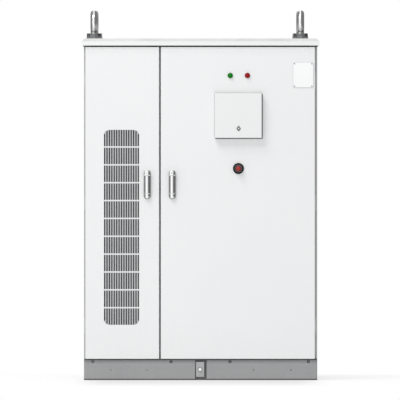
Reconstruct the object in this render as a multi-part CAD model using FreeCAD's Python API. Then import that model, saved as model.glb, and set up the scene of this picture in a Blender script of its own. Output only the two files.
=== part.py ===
import FreeCAD, Part
import math
import os

from FreeCAD import Vector

# Outdoor battery cabinet with two doors, in millimetres. The front faces -Y and +Z is up.
# The origin is on the floor, at the centre of the plinth's four anchor holes.

# Cabinet body
half_width = 700.0
front_y = -650.0
rear_y = 650.0
plinth_top = 125.0
case_bottom = 128.0
case_top = 2004.0
sheet = 2.0

# Roof cap
roof_bottom = 2008.0
roof_top = 2050.0
roof_overhang = 15.0
roof_bevel_height = 17.0
roof_bevel_width = 20.0
gasket_width = 14.0
gasket_drop = 3.0
gasket_reach = 30.0

# Doors: outer edges, and the gap between them at the centre post
door_bottom = 128.0
door_top = 1999.0
door_depth = 34.0
left_door_x = (-691.0, -250.0)
right_door_x = (-238.0, 685.0)
seal_gap = 10.0
door_back_y = front_y + door_depth
skin_cut = (front_y - 1, front_y + 5)
frame_y = door_back_y + seal_gap

# Frame behind the doors
post_x = (640.0, 678.0)
post_depth = 50.0
centre_post_x = (-274.0, -214.0)
sill_top = 170.0
head_bottom = 1950.0
frame_steel = 3.0
panel_depth = 22.0
frame_back = rear_y - panel_depth
partition_x = (-246.0, -243.0)

# Plinth
beam_steel = 4.0
beam_flange = 60.0
cover_y = -644.0
beam_y = (-632.0, 640.0)
plate_gap_x = (-33.0, 36.0)
cover_bend = 11.0
notch_x = (-647.0, -177.0, 177.0, 647.0)
notch_z = 111.0
notch_radius = 9.0
screw_x = (-538.0, -320.0, 317.0, 542.0)
screw_z = 62.0
screw_hole_radius = 2.6
plate_x = (-28.0, 22.0)
plate_z = (19.0, 109.0)
plate_bolt = (-3.6, 64.0)
anchor_x = 665.0
anchor_y = 560.0
anchor_radius = 9.0

# Lifting eyes, as they stand on the roof
eye_x = (-640.0, 601.0)
eye_y = (-560.0, 560.0)
eye_top = 2220.0
eye_section = 21.0
eye_outer = 69.5
eye_neck_radius = 20.4
eye_stud_radius = 12.0
foot_half = 45.0
foot_depth = 17.0
foot_height = 31.0
foot_bolt_offset = 32.5
foot_ledge = 11.0
foot_pocket_radius = 7.8

# Air grille in the left door
grille_centre_x = -474.5
grille_z = (332.0, 1502.0)
grille_rows = 11
grille_columns = 15
slot_pitch = 14.5
slot_width = 7.6
web_height = 8.5
grille_corner = 42.0

# Swing handles
handle_x = {"left": -320.0, "right": -170.0}
handed = {"left": -1, "right": 1}
handle_z = (1089.0, 1258.0)
handle_width = 40.0
handle_base_depth = 6.0
lock_block_depth = 16.0
hub_z = 1108.0
hub_radius = 18.0
shaft_radius = 10.0
neck_radius = 13.0
lever_width = 36.0
lever_reach = 120.0
lever_y = (-672.0, -657.5)
lever_crown = 8.5
lever_tilt = 40.0
tilt_y = -664.0
tilt_z = 1125.0
tilt_pin_radius = 2.5
tilt_knuckle_radius = 4.6
button_z = 1243.0
button_radius = 6.0
running_gap = 0.05

# Rod lock worked by the handle's crank
crank_radius = 14.0
crank_pin_radius = 4.0
crank_y = (-607.0, -603.0)
rod_y = (-601.5, -597.5)
rod_width = 16.0
rod_offset = 12.0
rod_tips = (173.0, 1947.0)
yoke_width = 23.0
guide_distances = (260.0, 700.0)

# Butt hinges in the seal gap
hinge_heights = (330.0, 1064.0, 1798.0)
hinge_length = 100.0
knuckle_length = 32.0
knuckle_radius = 4.6
pin_radius = 2.5
hinge_inset = 3.0
hinge_y = -611.0
leaf_thickness = 2.5
leaf_x = (7.0, 31.0)

# Screen and its cover
cover_x = (82.0, 368.0)
cover_z = (1453.0, 1725.0)
cover_front = -686.0
cover_back = -651.5
cover_wall = 2.5
cover_axis = (-664.0, 1716.0)
cover_corner_radius = 10.6
lug_x = (90.0, 360.0)
lug_radius = 5.5
cover_pin_radius = 2.0
screen_x = (100.0, 350.0)
screen_z = (1470.0, 1700.0)
lock_x = 228.0
lock_z = 1510.0

# Lamps and emergency stop
lamp_z = 1828.0
lamp_x = {"green": 178.0, "red": 281.0}
lamp_radius = 16.0
lamp_body_radius = 11.0
stop_x = 227.0
stop_z = 1270.0
stop_radius = 33.0
stop_neck_radius = 11.0
stem_radius = 8.0

# Battery bay
pack_x = (-177.0, 603.0)
pack_y = (-500.0, 480.0)
pack_height = 235.0
pack_pitch = 262.0
pack_bottom = 190.0
pack_count = 5
pack_centre = (pack_x[0] + pack_x[1]) / 2
grip_offset = 330.0
grip_reach = 36.0
box_bottom = pack_bottom + pack_count * pack_pitch
box_height = 215.0
box_back = 200.0
switch_bore = 10.05
switch_x = 213.0
switch_z = box_bottom + 110.0

# Cooling bay
unit_x = (-632.0, -282.0)
unit_y = (-540.0, 180.0)
unit_z = (160.0, 1500.0)
bearer_y = (-480.0, 100.0)
bearer_width = 40.0
fan_x = -457.0
fan_z = {"lower": 620.0, "upper": 1180.0}
fan_radius = 138.0
fan_ring_radius = 146.0
motor_bore = 5.0

# Filter behind the grille, and louvres in the rear panel
filter_window_x = (-584.0, -365.0)
filter_window_z = (328.0, 1506.0)
louvre_rows = 12
louvre_z = 760.0
louvre_pitch = 58.0
louvre_x = (-600.0, -320.0)

# Cable entry
gland_x = (300.0, 380.0, 460.0, 540.0)
gland_y = 535.0
gland_bore = 16.0

along_x = Vector(1, 0, 0)
along_y = Vector(0, 1, 0)
along_z = Vector(0, 0, 1)
outward = Vector(0, -1, 0)


def block(x, y, z):
    return Part.makeBox(x[1] - x[0], y[1] - y[0], z[1] - z[0], Vector(x[0], y[0], z[0]))


def rod_along_x(x, y, z, radius):
    return Part.makeCylinder(radius, x[1] - x[0], Vector(x[0], y, z), along_x)


def rod_along_y(x, y, z, radius):
    return Part.makeCylinder(radius, y[1] - y[0], Vector(x, y[0], z), along_y)


def rod_along_z(x, y, z, radius):
    return Part.makeCylinder(radius, z[1] - z[0], Vector(x, y, z[0]), along_z)


def prism(points, travel):
    face = Part.Face(Part.makePolygon(points + points[:1]))
    return face.extrude(travel)


def turned(profile, centre, axis):
    """Revolves (radius, distance along the axis) pairs about an axis through centre."""
    side = along_z if axis is along_x else along_x
    points = [centre + side * radius + axis * distance for radius, distance in profile]
    face = Part.Face(Part.makePolygon(points + points[:1]))
    return face.revolve(centre, axis, 360)


def edges_along(shape, axis):
    found = []
    for edge in shape.Edges:
        if isinstance(edge.Curve, Part.Line) and abs(edge.Curve.Direction.dot(axis)) > 0.999:
            found.append(edge)
    return found


def edges_at(shape, axis, place):
    """Edges that lie wholly in the plane across the axis at that place."""
    found = []
    for edge in shape.Edges:
        box = edge.BoundBox
        low = Vector(box.XMin, box.YMin, box.ZMin).dot(axis)
        high = Vector(box.XMax, box.YMax, box.ZMax).dot(axis)
        if abs(low - place) < 0.01 and abs(high - place) < 0.01:
            found.append(edge)
    return found


def round_along(shape, axis, radius):
    return shape.makeFillet(radius, edges_along(shape, axis))


def pan(x, y, z, corner, open_face):
    """A folded sheet pan with rounded outer corners, open towards open_face."""
    axis = along_y if open_face in ("front", "back") else along_x
    outer = round_along(block(x, y, z), axis, corner)
    inner_x = [x[0] + sheet, x[1] - sheet]
    inner_y = [y[0] + sheet, y[1] - sheet]
    if open_face == "back":
        inner_y[1] = y[1]
    if open_face == "front":
        inner_y[0] = y[0]
    if open_face == "right":
        inner_x[1] = x[1]
    if open_face == "left":
        inner_x[0] = x[0]
    inner = block(inner_x, inner_y, (z[0] + sheet, z[1] - sheet))
    return outer.cut(round_along(inner, axis, corner - sheet))


def channel_points(width, flange, steel):
    """C section as pairs: across its web, and along its flanges from the web's outer face."""
    return [
        (0, 0), (width, 0), (width, flange), (width - steel, flange), (width - steel, steel),
        (steel, steel), (steel, flange), (0, flange),
    ]


def save(name, *solids):
    shape = solids[0] if len(solids) == 1 else Part.makeCompound(list(solids))
    litres = round(shape.Volume / 1e6, 3)
    print(name, "solids", len(shape.Solids), "valid", shape.isValid(), "litres", litres)
    shape.exportStep("parts/%s.step" % name)


def plinth_frame():
    beams = []
    section = channel_points(plinth_top, beam_flange, beam_steel)
    for side in (-1, 1):
        points = [Vector(side * (half_width - run), beam_y[0], z) for z, run in section]
        beam = prism(points, along_y * (beam_y[1] - beam_y[0]))
        for hole_y in (-anchor_y, anchor_y):
            beam = beam.cut(rod_along_z(side * anchor_x, hole_y, (-1.0, beam_steel + 1), anchor_radius))
        beams.append(beam)
    reach = half_width - beam_steel
    for start, inward in ((beam_y[0], 1), (beam_y[1], -1)):
        points = [Vector(-reach, start + inward * run, z) for z, run in section]
        beam = prism(points, along_x * (2 * reach))
        beams.append(beam.cut(beams[0]).cut(beams[1]))
    save("plinth_frame", *beams)


def plinth_cover(side):
    """One half of the plinth's front, bent round its outer corner."""
    height = (3.0, plinth_top - 3.0)
    x = (-half_width, plate_gap_x[0]) if side < 0 else (plate_gap_x[1], half_width)
    cover = block(x, (cover_y, beam_y[0]), height)
    inner = block((x[0] + sheet, x[1] - sheet), (cover_y + sheet, beam_y[0]),
                  (height[0] + sheet, height[1] - sheet))
    outer_corner = [e for e in edges_along(cover, along_z)
                    if abs(e.BoundBox.XMin - side * half_width) < 1 and e.BoundBox.YMin < cover_y + 1]
    cover = cover.makeFillet(cover_bend, outer_corner)
    inner_corner = [e for e in edges_along(inner, along_z)
                    if abs(e.BoundBox.XMin - side * (half_width - sheet)) < 1
                    and e.BoundBox.YMin < cover_y + sheet + 1]
    inner = inner.makeFillet(cover_bend - sheet, inner_corner)
    cover = cover.cut(inner)
    through = (cover_y - 1, cover_y + sheet + 1)
    for x in notch_x:
        cover = cover.cut(rod_along_y(x, through, notch_z, notch_radius))
    for x in screw_x:
        cover = cover.cut(rod_along_y(x, through, screw_z, screw_hole_radius))
    save("plinth_left_cover" if side < 0 else "plinth_right_cover", cover)


def plinth_centre_plate():
    """Small plate between the covers, with one large bolt."""
    face = cover_y + sheet
    plate = block(plate_x, (face, beam_y[0]), plate_z)
    plate = plate.makeChamfer(2.0, edges_at(plate, along_y, face))
    plate = plate.cut(rod_along_y(plate_bolt[0], (cover_y, beam_y[0]), plate_bolt[1], 5.2))
    save("plinth_centre_plate", plate)


def hexagon_head(centre, axis, across, height, socket):
    """Hexagonal bolt head with a chamfered crown, seated at centre and pointing along axis."""
    radius = across / math.sqrt(3)
    side = along_x if axis == along_z else along_z
    other = axis.cross(side)
    points = []
    for step in range(6):
        turn = math.radians(60 * step)
        points.append(centre + side * (radius * math.cos(turn)) + other * (radius * math.sin(turn)))
    head = prism(points, axis * height)
    crown = Part.makeCone(radius * 1.08, across / 2 - 0.5, height, centre + axis * 0.001, axis)
    envelope = crown.fuse(Part.makeCylinder(radius * 1.08, height * 0.6, centre, axis))
    head = head.common(envelope)
    if socket:
        head = head.cut(Part.makeCylinder(socket, height / 2, centre + axis * (height / 2), axis))
    return head


def case_bolts():
    """Bolts of the plinth's covers and plate, and of the lifting feet."""
    bolts = []
    for x in notch_x:
        bolts.append(hexagon_head(Vector(x, beam_y[0], notch_z), outward, 13.0, 6.0, 0))
    screw_head = [(0.0, 0.0), (4.5, 0.0), (3.4, 2.2), (0.0, 2.6)]
    for x in screw_x:
        bolts.append(turned(screw_head, Vector(x, cover_y, screw_z), outward))
    plate_seat = Vector(plate_bolt[0], cover_y + sheet, plate_bolt[1])
    bolts.append(hexagon_head(plate_seat, outward, 17.0, 7.0, 3.0))
    for x in eye_x:
        for y in eye_y:
            for side in (-1, 1):
                seat = Vector(x + side * foot_bolt_offset, y, roof_top + foot_ledge)
                bolts.append(hexagon_head(seat, along_z, 13.0, 8.0, 0))
    save("case_bolts", *bolts)


def floor_pan():
    floor = block((-half_width + 24, half_width - 24), (frame_y + 4, frame_back),
                  (plinth_top, plinth_top + frame_steel))
    for x in gland_x:
        floor = floor.cut(rod_along_z(x, gland_y, (plinth_top - 1, plinth_top + 4), 25.2))
    save("floor_pan", floor)


def cable_glands():
    """Clamping cable entries: a threaded body, a hexagon and a domed nut round one clear bore."""
    glands = []
    for x in gland_x:
        top = plinth_top + 3
        body = turned(
            [(gland_bore, -28.0), (26.0, -28.0), (28.5, -22.0), (28.5, 0.0), (25.0, 0.0), (25.0, 12.0),
             (gland_bore, 12.0)],
            Vector(x, gland_y, plinth_top), along_z)
        nut = hexagon_head(Vector(x, gland_y, top), along_z, 60.0, 7.0, 0)
        nut = nut.cut(rod_along_z(x, gland_y, (top - 1, top + 8), 25.0))
        glands.append(body.fuse(nut).removeSplitter())
    save("cable_glands", *glands)


def corner_posts():
    """Four folded C posts, open towards the cabinet's inside."""
    posts = []
    section = channel_points(post_depth, post_x[1] - post_x[0], frame_steel)
    for side in (-1, 1):
        for start, inward in ((frame_y, 1), (frame_back, -1)):
            points = [Vector(side * (post_x[1] - run), start + inward * across, case_bottom)
                      for across, run in section]
            posts.append(prism(points, along_z * (case_top - case_bottom)))
    save("corner_posts", *posts)


def centre_post():
    section = channel_points(centre_post_x[1] - centre_post_x[0], post_depth, frame_steel)
    points = [Vector(centre_post_x[0] + across, frame_y + run, sill_top) for across, run in section]
    save("centre_post", prism(points, along_z * (head_bottom - sill_top)))


def cross_rails():
    """Sill and head rails. The front pair has a keeper hole for each lock rod."""
    rails = []
    for low, high in ((case_bottom, sill_top), (head_bottom, case_top)):
        section = channel_points(high - low, post_depth, frame_steel)
        for start, inward in ((frame_y, 1), (frame_back, -1)):
            points = [Vector(-post_x[0], start + inward * run, low + rise) for rise, run in section]
            rails.append(prism(points, along_x * (2 * post_x[0])))
    keeper_half = rod_width / 2 + 2
    for side, hand in handed.items():
        for index, direction, z in ((0, -1, sill_top), (2, 1, head_bottom)):
            x = handle_x[side] + direction * hand * rod_offset
            keeper = block((x - keeper_half, x + keeper_half), (rod_y[0] - 1.5, rod_y[1] + 3),
                           (z - frame_steel - 1, z + frame_steel + 1))
            rails[index] = rails[index].cut(keeper)
    save("cross_rails", *rails)


def side_panel(side):
    x = sorted((side * half_width, side * (half_width - panel_depth)))
    panel = pan(x, (frame_y, rear_y), (case_bottom, case_top), 4.0, "right" if side < 0 else "left")
    upright = [e for e in edges_along(panel, along_z) if abs(abs(e.BoundBox.XMin) - half_width) < 0.5]
    panel = panel.makeFillet(3.0, upright)
    save("left_side_panel" if side < 0 else "right_side_panel", panel)


def rear_panel():
    """Rear skin with hooded louvres behind the cooling unit."""
    reach = half_width - panel_depth - 1
    panel = pan((-reach, reach), (rear_y - panel_depth, rear_y), (case_bottom, case_top), 4.0, "front")
    for row in range(louvre_rows):
        z = louvre_z + row * louvre_pitch
        slot = block(louvre_x, (rear_y - 3, rear_y + 1), (z, z + 16))
        hood_section = [Vector(louvre_x[0], rear_y, z + 24), Vector(louvre_x[0], rear_y + 11, z + 4),
                        Vector(louvre_x[0], rear_y + 11, z), Vector(louvre_x[0], rear_y + 9.5, z),
                        Vector(louvre_x[0], rear_y + 9.5, z + 3.6), Vector(louvre_x[0], rear_y, z + 20.6)]
        hood = prism(hood_section, along_x * (louvre_x[1] - louvre_x[0]))
        panel = panel.cut(slot).fuse(hood)
    seam_x = (partition_x[0] + partition_x[1]) / 2
    panel = panel.cut(block((seam_x - 1.5, seam_x + 1.5), (rear_y - 1, rear_y + 1), (case_bottom, case_top)))
    save("rear_panel", panel.removeSplitter())


def bay_partition():
    """Sheet between the two bays, notched round the rear sill rail."""
    y = (frame_y + post_depth, frame_back)
    partition = block(partition_x, y, (case_bottom, head_bottom - sheet))
    notch = block((partition_x[0] - 1, partition_x[1] + 1), (frame_back - post_depth - 1, frame_back + 1),
                  (case_bottom - 1, sill_top + 1))
    save("bay_partition", partition.cut(notch))


def rectangle(x, y, z):
    points = [Vector(x[0], y[0], z), Vector(x[1], y[0], z), Vector(x[1], y[1], z), Vector(x[0], y[1], z)]
    return Part.makePolygon(points + points[:1])


def roof_shell(inset):
    """The roof cap's outer form, or its hollow when inset by the sheet."""
    x = half_width + roof_overhang - inset
    y = rear_y + roof_overhang - inset
    skirt_top = roof_top - roof_bevel_height - inset / 2
    skirt = block((-x, x), (-y, y), (roof_bottom, skirt_top))
    inner_x, inner_y = x - roof_bevel_width, y - roof_bevel_width
    bevel = Part.makeLoft([rectangle((-x, x), (-y, y), skirt_top),
                           rectangle((-inner_x, inner_x), (-inner_y, inner_y), roof_top - inset)], True, True)
    return skirt.fuse(bevel).removeSplitter()


def roof_cap():
    """Bevelled cap with a folded lip that rests on the case's gasket, and ribs under its top."""
    cap = roof_shell(0).cut(roof_shell(sheet + 0.5))
    lip = block((-half_width - roof_overhang, half_width + roof_overhang),
                (-rear_y - roof_overhang, rear_y + roof_overhang), (roof_bottom, roof_bottom + sheet))
    lip = lip.cut(block((-half_width + panel_depth, half_width - panel_depth),
                        (frame_y + post_depth / 2, frame_back), (roof_bottom - 1, roof_bottom + 4)))
    ribs = [block((x - 15, x + 15), (-rear_y + 10, rear_y - 10), (roof_top - 18, roof_top - 2))
            for x in (-350.0, 0.0, 350.0)]
    save("roof_cap", cap.fuse([lip] + ribs).removeSplitter())


def lifting_eye(x, y):
    """Forged ring, seen edge-on from the front, on a neck with a stud that is screwed into its foot."""
    ring_radius = eye_outer - eye_section
    ring_z = eye_top - eye_outer
    foot_top = roof_top + foot_height
    ring = Part.makeTorus(ring_radius, eye_section, Vector(x, y, ring_z), along_x)
    neck = rod_along_z(x, y, (foot_top, ring_z - ring_radius), eye_neck_radius)
    stud = rod_along_z(x, y, (roof_top + 6, foot_top + 1), eye_stud_radius)
    return ring.fuse([neck, stud]).removeSplitter()


def lifting_foot(x, y):
    """Cast foot: a round boss between two wings, each with a bolt pocket open to the outside."""
    foot_top = roof_top + foot_height
    top_half = foot_half - 3
    depth = (y - foot_depth, y + foot_depth)
    foot = Part.makeLoft([rectangle((x - foot_half, x + foot_half), depth, roof_top),
                          rectangle((x - top_half, x + top_half), depth, foot_top)], True, True)
    foot = foot.makeFillet(3.0, edges_at(foot, along_z, foot_top))
    foot = foot.fuse(rod_along_z(x, y, (roof_top, foot_top), eye_section))
    foot = foot.cut(rod_along_z(x, y, (roof_top + 5, foot_top + 1), eye_stud_radius + 0.3))
    pocket_z = (roof_top + foot_ledge, foot_top + 1)
    open_y = sorted((y, math.copysign(abs(y) + foot_depth + 1, y)))
    for side in (-1, 1):
        bolt_x = x + side * foot_bolt_offset
        foot = foot.cut(rod_along_z(bolt_x, y, pocket_z, foot_pocket_radius))
        foot = foot.cut(block((bolt_x - foot_pocket_radius, bolt_x + foot_pocket_radius), open_y, pocket_z))
    return foot.removeSplitter()


def lifting_gear():
    places = [(x, y) for x in eye_x for y in eye_y]
    save("lifting_eyes", *[lifting_eye(x, y) for x, y in places])
    save("lifting_feet", *[lifting_foot(x, y) for x, y in places])


def pull_handle(x, z):
    """Upright bow handle on the front of a pack, with a gap for the fingers."""
    bow = block((x - 9, x + 9), (pack_y[0] - grip_reach, pack_y[0]), z)
    gap = block((x - 10, x + 10), (pack_y[0] - grip_reach + 10, pack_y[0]), (z[0] + 12, z[1] - 12))
    return round_along(bow, along_x, 9.0).cut(gap)


def round_socket(x, z, radius):
    """Plug-in socket with a wide collar and a narrower mouth."""
    profile = [(0.0, 0.0), (radius, 0.0), (radius, 12.0), (radius - 7, 14.0), (radius - 7, 30.0), (0.0, 30.0)]
    return turned(profile, Vector(x, pack_y[0] - 4, z), outward)


def battery_pack(number):
    """Pack case with a bevelled lid, front flange, pull handles, power sockets and coolant ports."""
    low = pack_bottom + (number - 1) * pack_pitch
    high = low + pack_height
    case = round_along(block(pack_x, pack_y, (low, high)), along_z, 10.0)
    case = case.makeChamfer(7.0, edges_at(case, along_z, high))
    flange = block(pack_x, (pack_y[0] - 5, pack_y[0] + 12), (low, high - 20))
    additions = [round_along(flange, along_y, 8.0)]
    for side in (-1, 1):
        additions.append(pull_handle(pack_centre + side * grip_offset, (low + 55, low + 165)))
        additions.append(round_socket(pack_centre + side * 120, low + 140, 24.0))
        additions.append(round_socket(pack_centre + side * 210, low + 45, 16.0))
    port_x = (pack_centre - 32, pack_centre + 32)
    additions.append(block(port_x, (pack_y[0] - 16, pack_y[0]), (low + 36, low + 62)))
    save("battery_pack_%d" % number, case.fuse(additions).removeSplitter())


def battery_rack():
    """Four uprights, and a pair of shelf angles under each pack and the high-voltage box."""
    pieces = []
    rack_gap = 3.0
    leg = 33.0
    levels = [pack_bottom + level * pack_pitch for level in range(pack_count + 1)]
    section = channel_points(40.0, 22.0, frame_steel)
    for side, edge in ((-1, pack_x[0] - 2 * rack_gap), (1, pack_x[1] + 2 * rack_gap)):
        for y in (pack_y[0] + 20, pack_y[1] - 60):
            points = [Vector(edge + side * run, y + across, case_bottom) for across, run in section]
            pieces.append(prism(points, along_z * (box_bottom + box_height - case_bottom)))
        for z in levels:
            outline = [(0, -rack_gap), (leg, -rack_gap), (leg, 0), (rack_gap, 0), (rack_gap, 30), (0, 30)]
            points = [Vector(edge - side * run, pack_y[0] + 5, z + rise) for run, rise in outline]
            pieces.append(prism(points, along_y * (pack_y[1] - pack_y[0] - 10)))
    save("battery_rack", *pieces)


def high_voltage_box():
    """Switchgear box with a raised front panel, a switch seat, sockets and pull handles."""
    z = (box_bottom, box_bottom + box_height)
    box = pan(pack_x, (pack_y[0], box_back), z, 6.0, "back")
    panel = block((pack_x[0] + 25, pack_x[1] - 25), (pack_y[0] - 4, pack_y[0]), (z[0] + 18, z[1] - 18))
    seat_profile = [(0.0, 0.0), (44.0, 0.0), (44.0, 6.0), (38.0, 10.0), (switch_bore, 10.0),
                    (switch_bore, 4.0), (0.0, 4.0)]
    seat = turned(seat_profile, Vector(switch_x, pack_y[0] - 4, switch_z), outward)
    additions = [round_along(panel, along_y, 10.0), seat]
    for side in (-1, 1):
        additions.append(pull_handle(pack_centre + side * grip_offset, (z[0] + 52, z[0] + 162)))
        for offset in (170.0, 240.0):
            additions.append(round_socket(pack_centre + side * offset, z[0] + 100, 24.0))
    save("high_voltage_box", box.fuse(additions).removeSplitter())


def main_switch_lever():
    """Rotary switch lever: a boss on a spindle with one tapered arm."""
    seat = pack_y[0] - 14.3
    profile = [(0.0, -6.0), (10.0, -6.0), (10.0, 0.0), (24.0, 0.0), (24.0, 14.0), (20.0, 20.0), (0.0, 20.0)]
    boss = turned(profile, Vector(switch_x, seat, switch_z), outward)
    outline = ((-13.0, 0.0), (13.0, 0.0), (8.0, 78.0), (-8.0, 78.0))
    arm = prism([Vector(switch_x + run, seat - 8, switch_z + rise) for run, rise in outline], outward * 16)
    save("main_switch_lever", boss.fuse(arm).removeSplitter())


def cooling_unit_case():
    """Open-backed sheet case on two bearers. Its front plate carries the fan rings and their motors."""
    front = block(unit_x, (unit_y[0], unit_y[0] + sheet), unit_z)
    behind = (unit_y[0] + sheet, unit_y[1])
    upright = (unit_z[0] + sheet, unit_z[1] - sheet)
    sheets = [
        block(unit_x, behind, (unit_z[0], upright[0])), block(unit_x, behind, (upright[1], unit_z[1])),
        block((unit_x[0], unit_x[0] + sheet), behind, upright),
        block((unit_x[1] - sheet, unit_x[1]), behind, upright),
    ]
    section = channel_points(bearer_width, unit_z[0] - case_bottom, frame_steel)
    for y in bearer_y:
        points = [Vector(unit_x[0], y + across, unit_z[0] - run) for across, run in section]
        sheets.append(prism(points, along_x * (unit_x[1] - unit_x[0])))
    additions = []
    for z in fan_z.values():
        front = front.cut(rod_along_y(fan_x, (unit_y[0] - 1, unit_y[0] + 5), z, fan_ring_radius))
        ring = turned([(fan_ring_radius, 0.0), (fan_ring_radius + 6, 0.0), (fan_ring_radius + 2, 6.0),
                       (fan_ring_radius + 2, 48.0), (fan_ring_radius, 48.0)],
                      Vector(fan_x, unit_y[0], z), along_y)
        motor = turned([(motor_bore, 42.0), (36.0, 42.0), (36.0, 100.0), (28.0, 108.0), (motor_bore, 108.0)],
                       Vector(fan_x, unit_y[0], z), along_y)
        additions += [ring, motor]
        for turn in (90, 210, 330):
            arm = block((fan_x + 30, fan_x + fan_ring_radius + 1), (unit_y[0] + 42, unit_y[0] + 48),
                        (z - 6, z + 6))
            arm.rotate(Vector(fan_x, 0, z), along_y, turn)
            additions.append(arm)
    save("cooling_unit_case", front.fuse(additions).removeSplitter(), *sheets)


def fan(place):
    """Axial fan: a domed hub on its shaft with seven pitched blades."""
    z = fan_z[place]
    front = unit_y[0] + 8
    shaft = motor_bore - running_gap
    profile = [(0.0, 0.0), (30.0, 0.0), (40.0, 8.0), (40.0, 32.0), (shaft, 32.0), (shaft, 60.0), (0.0, 60.0)]
    hub = turned(profile, Vector(fan_x, front, z), along_y)
    blades = []
    blade_count = 7
    for index in range(blade_count):
        sections = []
        for radius, chord, pitch in ((36.0, 26.0, 45.0), (fan_radius - 2, 62.0, 22.0)):
            slope = math.radians(pitch)
            half = chord / 2
            corners = []
            for run, rise in ((-half, -1.0), (half, -1.0), (half, 1.0), (-half, 1.0)):
                along = run * math.cos(slope) - rise * math.sin(slope)
                deep = run * math.sin(slope) + rise * math.cos(slope)
                corners.append(Vector(fan_x + along, front + 17 + deep, z + radius))
            sections.append(Part.makePolygon(corners + corners[:1]))
        blade = Part.makeLoft(sections, True, True)
        blade.rotate(Vector(fan_x, 0, z), along_y, 360.0 / blade_count * index)
        blades.append(blade)
    save("fan_%s" % place, hub.fuse(blades).removeSplitter())


def cooling_coil():
    """Finned core between two upright header pipes."""
    y = (20.0, 70.0)
    x = (unit_x[0] + 24, unit_x[1] - 24)
    fin_count = 26
    low, high = unit_z[0] + 40, unit_z[1] - 40
    step = (high - low) / (fin_count - 1)
    fins = [block(x, y, (low + step * n - 5, low + step * n + 5)) for n in range(fin_count)]
    core = block(x, (y[0] + 12, y[1] - 12), (low, high))
    inside = (unit_z[0] + sheet, unit_z[1] - sheet)
    headers = [rod_along_z(pipe_x, 45.0, inside, 16.0) for pipe_x in (x[0] - 4, x[1] + 4)]
    save("cooling_coil", core.fuse(fins + headers).removeSplitter())


def fire_canister():
    """Extinguishing cylinder with domed ends, a valve and a foot ring, on the cooling unit."""
    centre = Vector(fan_x, -330.0, unit_z[1])
    profile = [(0.0, 12.0), (52.0, 12.0), (52.0, 0.0), (58.0, 0.0), (58.0, 14.0), (70.0, 30.0),
               (70.0, 280.0), (62.0, 306.0), (40.0, 322.0), (17.0, 328.0), (17.0, 344.0), (24.0, 344.0),
               (24.0, 372.0), (14.0, 380.0), (0.0, 380.0)]
    body = turned(profile, centre, along_z)
    outlet = Part.makeCylinder(9.0, 44.0, centre + along_z * 358, along_x)
    save("fire_canister", body.fuse(outlet).removeSplitter())


def roof_gasket():
    """Rubber ring that the roof cap's lip rests on, with a drip strip over the doors' top edges."""
    z = (case_top, roof_bottom)
    outer_x, outer_y = half_width - 2, (frame_y, rear_y - 2)
    ring = block((-outer_x, outer_x), outer_y, z)
    ring = ring.cut(block((-outer_x + gasket_width, outer_x - gasket_width),
                          (outer_y[0] + gasket_width, outer_y[1] - gasket_width), z))
    strip = block((left_door_x[0], right_door_x[1]), (frame_y - gasket_reach, frame_y),
                  (case_top - gasket_drop, roof_bottom))
    return ring.fuse(strip).removeSplitter()


def door_seals():
    """Rubber profiles on the frame: a ring round each bay's opening, and the roof cap's gasket."""
    rings = [roof_gasket()]
    width = 12.0
    z = (154.0, head_bottom + 16)
    y = (door_back_y + 0.4, frame_y)
    for x in ((-post_x[0] - 16, centre_post_x[0] + 16), (centre_post_x[1] - 16, post_x[0] + 16)):
        ring = round_along(block(x, y, z), along_y, 18.0)
        hollow = block((x[0] + width, x[1] - width), y, (z[0] + width, z[1] - width))
        ring = ring.cut(round_along(hollow, along_y, 8.0))
        rings.append(ring.makeFillet(3.5, edges_at(ring, along_y, y[0])))
    save("door_seals", *rings)


def hinge_axis_x(side):
    return left_door_x[0] - hinge_inset if side < 0 else right_door_x[1] + hinge_inset


def hinge_frame_leaves():
    """Leaves on the frame: an upper and a lower knuckle joined by the fixed pin."""
    leaves = []
    for side in (-1, 1):
        axis_x = hinge_axis_x(side)
        for z in hinge_heights:
            low, high = z - hinge_length / 2, z + hinge_length / 2
            near, far = axis_x - side * leaf_x[0], axis_x - side * leaf_x[1]
            leaf = block(sorted((near, far)), (frame_y - leaf_thickness, frame_y), (low, high))
            pieces = [rod_along_z(axis_x, hinge_y, (low, high), pin_radius)]
            for span in ((low, low + knuckle_length), (high - knuckle_length, high)):
                pieces.append(rod_along_z(axis_x, hinge_y, span, knuckle_radius))
                pieces.append(block(sorted((axis_x, near)), (frame_y - leaf_thickness, frame_y), span))
            leaves.append(leaf.fuse(pieces).removeSplitter())
    save("hinge_frame_leaves", *leaves)


def hinge_door_leaves(name, side):
    """Leaves on the door, each with one middle knuckle that runs on the fixed pin."""
    leaves = []
    axis_x = hinge_axis_x(side)
    end_gap = 0.5
    for z in hinge_heights:
        low, high = z - hinge_length / 2, z + hinge_length / 2
        near, far = axis_x - side * leaf_x[0], axis_x - side * leaf_x[1]
        y = (door_back_y, door_back_y + leaf_thickness)
        span = (low + knuckle_length + end_gap, high - knuckle_length - end_gap)
        knuckle = rod_along_z(axis_x, hinge_y, span, knuckle_radius)
        leaf = block(sorted((near, far)), y, (low, high))
        leaf = leaf.fuse([knuckle, block(sorted((axis_x, near)), y, span)])
        leaf = leaf.cut(rod_along_z(axis_x, hinge_y, (low, high), pin_radius + running_gap))
        leaves.append(leaf.removeSplitter())
    save(name, *leaves)


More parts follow.
